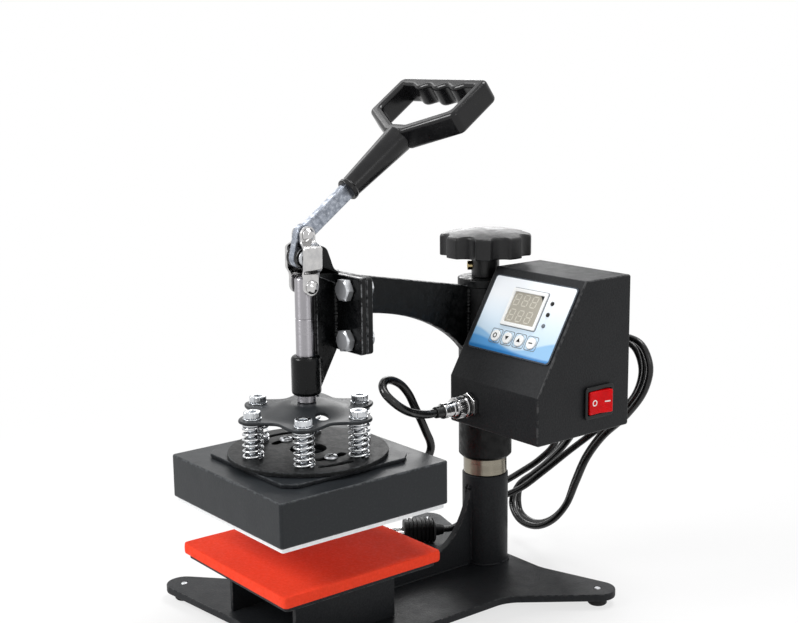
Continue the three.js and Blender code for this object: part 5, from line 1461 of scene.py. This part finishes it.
def inset(corners, by):
    """Corners that run counterclockwise, with each side moved inwards."""
    moved_in = []
    for i, (x, y) in enumerate(corners):
        here = Vector((x, y))
        into = (here - Vector(corners[i - 1])).normalized()
        onward = (Vector(corners[(i + 1) % len(corners)]) - here).normalized()
        move = by / (1 + into.dot(onward))
        moved_in.append((x - (into.y + onward.y) * move, y + (into.x + onward.x) * move))
    return moved_in


# Plunger, springs and heater


class HEATPRESS_OT_plunger(Operator):
    """Turns the plunger rod and presses the six-lobed spring plate on its end"""

    bl_idname = "heatpress.plunger"
    bl_label = "Plunger and spring plate"

    def execute(self, context):
        steel = turned_steel("polished_bar_steel", "#a4a2a6")
        radius, spigot, groove = 6, 4, 5.7
        low, shoulder, top = plunger.low, spring_plate_box.top + 0.3, plunger.top
        rod = [
            (0, low), (spigot, low, 0.4), (spigot, shoulder), (radius, shoulder, 0.4), (radius, top - 26.6),
            (groove, top - 26.3, 0.1), (groove, top - 25.9, 0.1), (radius, top - 25.6), (radius, top, 1.6),
            (0, top),
        ]
        piece("plunger_rod", "plunger", steel, [lathe(rod, 64, at=shift(0, head_y))])
        paint = cover_enamel("heat_proof_enamel", context.scene.heat_press_colours.cover_paint)
        piece("spring_plate", "plunger", paint, [self.spring_plate()], crease=50)
        return {"FINISHED"}

    def spring_plate(self):
        """A domed sheet whose rim runs out to a lobe at each bolt, with one hole."""
        dome, thickness, edge = 5.6, 2.0, 0.7
        low = spring_plate_box.low
        run = (head_bolts[0].x, head_bolts[0].y - head_y)
        circle_radius = hypot(*run)
        first = atan2(run[1], run[0])
        rim, lobe = circle_radius + 2.7, 6.0
        sides, rows = 240, 44

        def ring(share, lift, inward):
            points = []
            for k in range(sides):
                angle = 2 * pi * k / sides
                reach = (rim + lobe * cos(6 * (angle - first)) - inward) * share
                fall = (1 - cos(pi * part_way(reach, 9, circle_radius - 4.8))) / 2
                height = low + dome * (1 - fall) + lift
                points.append((reach * cos(angle), head_y + reach * sin(angle), height))
            return points

        rings = [ring(max(k / rows, 0.002), 0, 0) for k in range(rows)]
        for turn in range(-90, 91, 30):
            lift = thickness / 2 + (thickness / 2) * sin(radians(turn))
            rings.append(ring(1, lift, edge * (1 - cos(radians(turn)))))
        rings += [ring(max(1 - (k + 1) / rows, 0.002), thickness, 0) for k in range(rows)]
        angle = radians(-12)
        at = shift(24 * cos(angle), head_y + 24 * sin(angle), low)
        drill = lathe([(0, -9), (4.4, -9), (4.4, 14), (0, 14)], 48, at=at)
        return cut(loft(rings), drill)


class HEATPRESS_OT_springs(Operator):
    """Winds the six springs and puts the socket-head bolts through them"""

    bl_idname = "heatpress.springs"
    bl_label = "Springs and head bolts"

    def execute(self, context):
        sizes = context.scene.heat_press_sizes
        wire = sizes.spring_wire * MM / 2
        turns = sizes.spring_turns
        chrome = bright_plate("chrome_plate", "#dcdee0")
        zinc = bright_plate("bright_zinc", "#d2d5d8")
        bottom, top = disc_box.top + 0.3, spring_plate_box.low - 0.3
        travel, radius, per_turn = 4.0, 6.0, 24
        count = turns * per_turn
        rise = top - bottom - 2 * wire
        for number, bolt in enumerate(head_bolts, 1):
            x, y = bolt.x, bolt.y
            points = []
            for k in range(count + 1):
                angle = 2 * pi * turns * k / count
                # The first and last turns lie closed, one wire apart
                closed = min(1.0, turns * k / count) - min(1.0, turns * (count - k) / count)
                middle = part_way(turns * k / count, 0.8, turns - 0.8)
                height = (closed + 1) * wire + middle * (rise - 2 * wire)
                points.append((x + radius * cos(angle), y + radius * sin(angle), bottom + wire + height))
            wound = tube(points, wire, 10)
            coil = piece("spring_%d" % number, "heater", chrome, [wound], even=False)
            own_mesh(coil)
            shapes = self.bolt(bolt, shift(x, y))
            piece("head_bolt_%d" % number, "heater", zinc, shapes, crease=30)
        return {"FINISHED"}

    def bolt(self, bolt, at):
        """A knurled head with a hexagon socket, its shank, the socket's floor and a washer."""
        seat, head_radius, notches = bolt.top - 4.6, 5.4, 96
        turned = circle(1, sides=notches)
        reaches = [head_radius - (0.18 if k % 3 == 0 else 0) for k in range(notches)]
        head = [(reach * x, reach * y) for reach, (x, y) in zip(reaches, turned)]
        floor = bolt.top - 1.5
        washer = [(3.2, seat - 0.25), (5.9, seat - 0.25, 0.1), (5.9, seat + 0.5, 0.2), (3.2, seat + 0.5)]
        return [
            plate([head, hexagon(4.6)], seat + 0.5, bolt.top, 0.6, 2, at=at),
            lathe([(0, bolt.low), (3, bolt.low, 0.3), (3, seat + 0.2), (0, seat + 0.2)], 32, at=at),
            lathe([(0, seat), (4.6, seat), (4.6, floor), (0, floor)], 32, at=at),
            lathe(washer, 40, closed=True, at=at),
        ]


class HEATPRESS_OT_heater(Operator):
    """Builds the heater: the slotted disc, the top plate, the folded cover and the heating plate"""

    bl_idname = "heatpress.heater"
    bl_label = "Heater"

    def execute(self, context):
        sizes, colours = sidebar_values(context)
        black = oxide_black("black_oxide_cast")
        enamel = cover_enamel("heat_proof_enamel", colours.cover_paint)
        edge = sizes.sheet_edge * MM
        d, t, c, h = disc_box, top_plate_box, cover_box, heating_plate_box
        holes = [circle(3.3, bolt.x, bolt.y - head_y, 24) for bolt in head_bolts]
        slots = [
            self.slot(turn + radians(middle), radius, half_width, radians(half_sweep))
            for turn in (0, pi)
            for middle, radius, half_width, half_sweep in ((2, 25, 2.6, 21), (-8, 39, 2.1, 15))
        ]
        lines = [circle((d.right - d.left) / 2, sides=144), circle(11.5), *holes, *slots]
        disc = plate(lines, d.low, d.top, edge, at=shift(0, head_y))
        piece("mounting_disc", "heater", black, [disc])
        screws = []
        crosses = []
        for side in (-1, 1):
            at = shift(side * 25, head_y, d.top)
            shape = lathe([(0, 0), (4.4, 0, 0.2), (3.8, 1.5, 0.9), (0, 2.1)], 32, at=at)
            for turn in (0.4, 0.4 + pi / 2):
                lay = at @ Matrix.Rotation(turn, 4, "Z")
                shape = cut(shape, plate([rectangle(-3.1, -0.8, 3.1, 0.8)], 0.7, 3.0, at=lay))
                # A near-black plate in the floor of each cross recess: painted shade
                crosses.append(plate([rectangle(-3.0, -0.78, 3.0, 0.78)], 0.6, 1.4, at=lay))
            screws.append(shape)
        piece("disc_screws", "heater", zinc_plate("zinc_plate"), screws, ())
        # The near-black finish of those plates is painted shade in the recesses
        recess_shade = moulded("painted_recess_shade", linear("#0c0c0d"), 0.7, 0.05)
        piece("screw_recess_shade", "heater", recess_shade, crosses, ())
        half = (t.right - t.left) / 2
        inner = half - 7
        line = outline([
            (inner, -half, 1), (half, -inner, 1), (half, inner, 1), (inner, half, 1),
            (-inner, half, 1), (-half, inner, 1), (-half, -inner, 1), (-inner, -half, 1),
        ])
        sheet = plate([line, circle(9)], t.low, t.top, edge, at=shift(0, head_y))
        piece("heater_top_plate", "heater", enamel, [sheet])
        square_back = head_y + (c.right - c.left) / 2
        square = rectangle(c.left, c.front, c.right, square_back, 2.0)
        block = plate([square], c.low, c.top, sizes.cover_edge * MM, 3)
        wall = 1.5
        hollow = rectangle(c.left + wall, c.front + wall, c.right - wall, square_back - wall, 0.5)
        gland = [(0, 0), (5, 0), (5, 5.5, 0.8), (3, 5.5), (3, 4), (0, 4)]
        piece("heater_cover", "heater", enamel, [
            cut(block, plate([hollow], c.low - 5, c.top - wall)),
            lathe(gland, 40, at=along((0, 1, 0), (27, square_back - 0.5, c.low + 17))),
        ])
        slab = plate([rectangle(h.left, h.front, h.right, h.back, 1.5)], h.low, h.top, 0.4)
        piece("heating_plate", "heater", bare_aluminium("milled_aluminium"), [slab])
        keep("heating_element", turned_steel("turned_steel"))
        return {"FINISHED"}

    def slot(self, middle, radius, half_width, half_sweep):
        """An arc slot with round ends, about the disc's middle."""
        start, end = middle - half_sweep, middle + half_sweep
        far = arc(radius * cos(end), radius * sin(end), half_width, end, end + pi, 8)
        near = arc(radius * cos(start), radius * sin(start), half_width, start + pi, start + 2 * pi, 8)
        return [
            *arc(0, 0, radius + half_width, start, end, 10),
            *far[1:-1],
            *arc(0, 0, radius - half_width, end, start, 10),
            *near[1:-1],
        ]


# Knob and its screw


class HEATPRESS_OT_knob(Operator):
    """Moulds the scalloped knob on its stem, with its screw and set screw"""

    bl_idname = "heatpress.knob"
    bl_label = "Pressure knob"

    def execute(self, context):
        sizes, colours = sidebar_values(context)
        plastic = moulded("grained_bakelite", colours.plastic, 0.36, 0.12, Specular_IOR_Level=0.35)
        low, top, radius = knob_box.low, knob_box.top, knob_box.right
        rim_low, notch = low + 15.1, 9.0
        middle = radius + notch - sizes.knob_notch * MM
        roll, foot, stem = 2.2, 0.8, 9.6

        def limit(angle):
            """The scalloped outline of the rim, with eight finger notches."""
            off = angle % (pi / 4) - pi / 8
            if abs(sin(off)) >= notch / middle:
                return radius
            return min(radius, middle * cos(off) - sqrt(notch ** 2 - (middle * sin(off)) ** 2))

        def crown(reach):
            """The height of the flat dome on top."""
            return top - 4.4 * (reach / radius) ** 2

        angles = [2 * pi * k / 320 for k in range(320)]
        rows = []
        for k in range(15):
            share = max(k / 14, 0.001)
            rows.append([(share * (limit(a) - roll), crown(share * (limit(a) - roll))) for a in angles])
        for k in range(1, 7):
            turn = pi / 2 * k / 6
            inward, drop = roll * (1 - sin(turn)), roll * (1 - cos(turn))
            rows.append([(limit(a) - inward, crown(limit(a) - roll) - drop) for a in angles])
        for k in range(4):
            turn = pi / 2 * k / 3
            inward, rise = foot * (1 - cos(turn)), foot * (1 - sin(turn))
            rows.append([(limit(a) - inward, rim_low + rise) for a in angles])
        below = [(stem + 1.0, rim_low), (stem, rim_low - 1.0), (stem, low + 0.5), (stem - 0.5, low)]
        rows += [[corner] * len(angles) for corner in below]
        turned = loft([[(r * cos(a), r * sin(a), z) for a, (r, z) in zip(angles, row)] for row in rows])
        piece("knob", "knob_and_screw", plastic, [turned], crease=50)
        point, middle_height = Vector((-0.62, -0.784, 0)), Vector((0, 0, 223.5))
        profile = [(0, 0), (3.2, 0), (3.2, 3.4, 0.6), (1.9, 3.4, 0.2), (1.9, 2.0), (0, 2.0)]
        screw = lathe(profile, 32, at=along(point, point * 9.1 + middle_height))
        brass = bright_plate("pale_brass", "#b3a06e")
        piece("set_screw", "knob_and_screw", brass, [screw], ())
        keep("adjusting_screw", turned_steel("turned_steel"))
        return {"FINISHED"}


# Control box, panel and switch


class HEATPRESS_OT_box(Operator):
    """Folds the control box and closes its back"""

    bl_idname = "heatpress.box"
    bl_label = "Control box"

    def execute(self, context):
        sizes, colours = sidebar_values(context)
        paint = powder_coat("box_powder_coat", colours.box_paint)
        fold, wall, s = 1.6, 1.5, switch_box
        side = outline([
            (box.front, box.low, fold), (box.back, box.low, fold), (box.back, box.top, fold),
            (ridge_y, box.top, fold), (box.front, brow_z, fold),
        ])
        body = plate([side], box.left, box.right, sizes.box_edge * MM, 3, at=SIDE)
        inside = rectangle(box.left + wall, box.low + wall, box.right - wall, box.top - wall, 1)
        opening = plate([inside], -40, 0, at=shift(0, box.back - 3, 0) @ FRONT)
        hole = rectangle(s.front + 1.5, s.low + 1.5, s.back - 1.5, s.top - 1.5)
        pocket = plate([hole], box.right - 17, box.right + 3, at=SIDE)
        piece("box_shell", "arm", paint, [cut(body, opening, pocket)])
        sheet = rectangle(box.left + 1.8, box.low + 1.8, box.right - 1.8, box.top - 1.8, 1)
        gland_hole = circle(6.2, 60, 168, 40)
        cover = plate([sheet, gland_hole], -box.back, -box.back + 1.5, 0.3, at=FRONT)
        piece("box_back_cover", "arm", paint, [cover])
        head = [(0, 0), (3.0, 0, 0.2), (2.6, 1.1, 0.6), (0, 1.6)]
        places = [(x, z) for x in (box.left + 8, box.right - 8) for z in (box.low + 8, box.top - 8)]
        screws = [lathe(head, 28, at=along((0, 1, 0), (x, box.back - 0.3, z))) for x, z in places]
        piece("cover_screws", "arm", zinc_plate("zinc_plate"), screws, ())
        keep("control_board", moulded("fibreglass_board", linear("#1d6a38"), 0.4, 0.05))
        return {"FINISHED"}


class HEATPRESS_OT_panel(Operator):
    """Lays the printed film on the slope, with its display, lamps and four push buttons"""

    bl_idname = "heatpress.panel"
    bl_label = "Control panel"

    def execute(self, context):
        film = printed_film("printed_polyester", context.scene.heat_press_colours)
        rim = moulded("film_edge", linear("#3c434b"), 0.3, 0.02)
        white = moulded("white_abs", linear("#f1f2f1"), 0.3, 0.02)
        glass = moulded("smoked_acrylic", linear("#a8a397"), 0.14, 0.0)
        dark = moulded("black_mask", linear("#060607"), 0.4, 0.02)
        grey = moulded("grey_print", linear("#6a7078"), 0.4, 0.02)
        lit = moulded("unlit_segments", linear("#cbc7bb"), 0.3, 0.0)

        def lay(name, slot, material, shapes, stands_for=()):
            piece(name, "arm", material, [moved(shape, PANEL) for shape in shapes], stands_for)

        left, right, top, bottom = 24.6, 100.2, -5.5, -58.5
        columns, row = [46.7 + 11 * k for k in range(4)], -47.2
        holes = [circle(4.2, x, row, 32) for x in columns]
        lines = [rectangle(left, bottom, right, top, 2.5), *holes]
        inner = [rectangle(left + 0.9, bottom + 0.9, right - 0.9, top - 0.9, 2.0), *holes]
        lay("panel_label", "panel_film", film, [plate(inner, 0.9, 1.1)], None)
        lay("label_edge", "panel_film", rim, [plate(lines, 0.3, 0.98, 0.1)])
        surround = rectangle(46.3, -39, 78, -12.8, 1.2)
        field = rectangle(48.6, -36.6, 75.6, -15.2, 0.4)
        lay("display_frame", "button_white", white, [plate([surround, field], 1.0, 2.2, 0.35, 2)])
        printed = [rectangle(45.8, -39.5, 78.5, -12.3, 1.5), surround]
        lay("display_outline", "panel_film", grey, [plate(printed, 1.05, 1.3)])
        lay("display_field", "panel_film", glass, [plate([field], 0.9, 1.3)])
        notch = [(71.8, -15.2), (75.6, -19.4), (75.6, -15.2)]
        lamp = [(0, 0), (1.45, 0), (1.45, 0.5), (0.8, 1.0, 0.5), (0, 1.1)]
        lamps = [lathe(lamp, 24, at=shift(83.6, y, 1.0)) for y in (-18.9, -26.6, -34.3)]
        lay("display_notch", "switch_black", dark, [plate([notch], 1.2, 1.45), *lamps[:2]])
        lay("lamp_grey", "button_white", grey, lamps[2:])
        places = [(x, y) for y in (-20.4, -31.2) for x in (52.6, 60.4, 68.2)]
        lay("display_digits", "button_white", lit, [bar for place in places for bar in self.digit(*place)])
        cap = [(0, -6), (3.9, -6), (3.9, 2.3, 0.6), (3.0, 2.05, 0.5), (0, 2.1)]
        # Generic symbols: a circle, an arrow down, an arrow up and a bar
        down, up = [[(-1.6, -1.1 * way), (1.6, -1.1 * way), (0, 1.5 * way)] for way in (-1, 1)]
        marks = [[circle(1.7), circle(1.1)], [down], [up], [rectangle(-1.6, -0.4, 1.6, 0.4)]]
        for number, (x, mark) in enumerate(zip(columns, marks), 1):
            body = "button_%s" % "abcd"[number - 1]
            button = lathe(cap, 48, at=PANEL @ shift(x, row))
            piece("button_%d" % number, body, white, [button])
            shape = plate(mark, 0, 0.1, at=PANEL @ shift(x, row, 2.1))
            piece("button_mark_%d" % number, body, dark, [shape], ())
        half_sizes = ((5, 1.6), (4.6, 1.4))
        squares = [rectangle(-reach, -reach, reach, reach, corner) for reach, corner in half_sizes]
        frames = [plate(squares, 1.05, 1.2, at=shift(x, row)) for x in columns]
        lay("button_frames", "panel_film", grey, frames)
        return {"FINISHED"}

    def digit(self, x, y):
        """A figure eight of seven slanted bars, as an unlit display shows."""
        bar, gap, lean = 0.75, 0.25, 0.12
        half_w, half_h, tip = 2.3, 3.8, bar / 2
        bars = [((-half_w, h * half_h), (half_w, h * half_h)) for h in (-1, 0, 1)]
        bars += [((s * half_w, h * half_h), (s * half_w, 0)) for s in (-1, 1) for h in (-1, 1)]
        shapes = []
        for a, b in bars:
            a, b = Vector(a), Vector(b)
            run = (b - a).normalized()
            side = Vector((-run.y, run.x)) * bar / 2
            a, b = a + run * gap, b - run * gap
            near, far = a + run * tip, b - run * tip
            line = [a, near + side, far + side, b, far - side, near - side]
            shapes.append(plate([[(x + p.x + lean * p.y, y + p.y) for p in line]], 1.28, 1.36))
        return shapes


class HEATPRESS_OT_switch(Operator):
    """Puts the rocker switch in the box's side, with a circle and a bar on its red rocker"""

    bl_idname = "heatpress.switch"
    bl_label = "Rocker switch"

    def execute(self, context):
        s = switch_box
        y, z, face = s.y, s.z, s.right
        outer = rectangle(s.front, s.low, s.back, s.top, 2.4)
        pocket = rectangle(y - 10.7, z - 7.8, y + 10.7, z + 7.8, 0.8)
        behind = (s.front + 1.7, s.low + 1.7, s.back - 1.7, s.top - 1.7)
        black = moulded("switch_nylon", linear("#0d0e0f"), 0.3, 0.03)
        piece("switch_housing", "arm", black, [
            plate([outer, pocket], face - 2, face, 0.6, 2, at=SIDE),
            plate([rectangle(*behind, 0.5), pocket], face - 12, face - 1.2, at=SIDE),
            plate([rectangle(*behind)], s.left, face - 11.5, at=SIDE),
        ])
        half, rise, tilt = 9.7, 0.7, radians(8)
        end = rise + half * tan(tilt)
        under = [(9.2 * cos(pi + pi * k / 16), 6.5 * sin(pi + pi * k / 16)) for k in range(17)]
        shape = outline([(half, end, 0.9), (0, rise), (-half, end, 0.9), *under])
        lay = shift(face, y, z) @ Matrix.Rotation(-pi / 2 - tilt, 4, "Z")
        red = clear_red("clear_red_polycarbonate", context.scene.heat_press_colours.rocker)
        piece("rocker", "rocker", red, [plate([shape], -7.5, 7.5, 0.7, 2, at=lay)])
        marks = []
        for side, line in ((1, [circle(2.1), circle(1.35)]), (-1, [rectangle(-2.1, -0.4, 2.1, 0.4)])):
            slope = Vector((cos(tilt), side * sin(tilt), 0))
            out = Vector((-side * sin(tilt), cos(tilt), 0))
            at = slope * (side * 5.2) + Vector((0, rise - 0.03, 0))
            on_slope = Matrix.Translation(at) @ laid(slope, out.cross(slope), out)
            marks.append(plate(line, 0, 0.14, at=lay @ on_slope))
        white = moulded("white_print", linear("#f4f2ef"), 0.35, 0.0)
        piece("rocker_marks", "rocker", white, marks, ())
        return {"FINISHED"}


# In the order in which they run
OPERATORS = (
    HEATPRESS_OT_camera, HEATPRESS_OT_power_cord, HEATPRESS_OT_heater_cable, HEATPRESS_OT_stage,
    HEATPRESS_OT_base, HEATPRESS_OT_column, HEATPRESS_OT_table, HEATPRESS_OT_arm, HEATPRESS_OT_bracket,
    HEATPRESS_OT_bolts, HEATPRESS_OT_toggle, HEATPRESS_OT_handle, HEATPRESS_OT_plunger,
    HEATPRESS_OT_springs, HEATPRESS_OT_heater, HEATPRESS_OT_knob, HEATPRESS_OT_box, HEATPRESS_OT_panel,
    HEATPRESS_OT_switch,
)


class HEATPRESS_PT_sidebar(Panel):
    """Lists the pieces of the heat press with their sizes and colours"""

    bl_idname = "HEATPRESS_PT_sidebar"
    bl_label = "Heat press"
    bl_space_type = "VIEW_3D"
    bl_region_type = "UI"
    bl_category = "Heat press"

    def draw(self, context):
        for group in sidebar_values(context):
            column = self.layout.column(align=True)
            for name in group.__annotations__:
                column.prop(group, name)
        column = self.layout.column(align=True)
        for operator in OPERATORS:
            column.operator(operator.bl_idname)


CLASSES = (PressSizes, PressColours, *OPERATORS, HEATPRESS_PT_sidebar)


def register():
    for one in CLASSES:
        bpy.utils.register_class(one)
    bpy.types.Scene.heat_press_sizes = PointerProperty(type=PressSizes)
    bpy.types.Scene.heat_press_colours = PointerProperty(type=PressColours)


def unregister():
    del bpy.types.Scene.heat_press_colours
    del bpy.types.Scene.heat_press_sizes
    for one in reversed(CLASSES):
        bpy.utils.unregister_class(one)


def main():
    """Builds the whole press."""
    register()
    for operator in OPERATORS:
        group, name = operator.bl_idname.split(".")
        getattr(getattr(bpy.ops, group), name)()


if __name__ == "__main__":
    main()
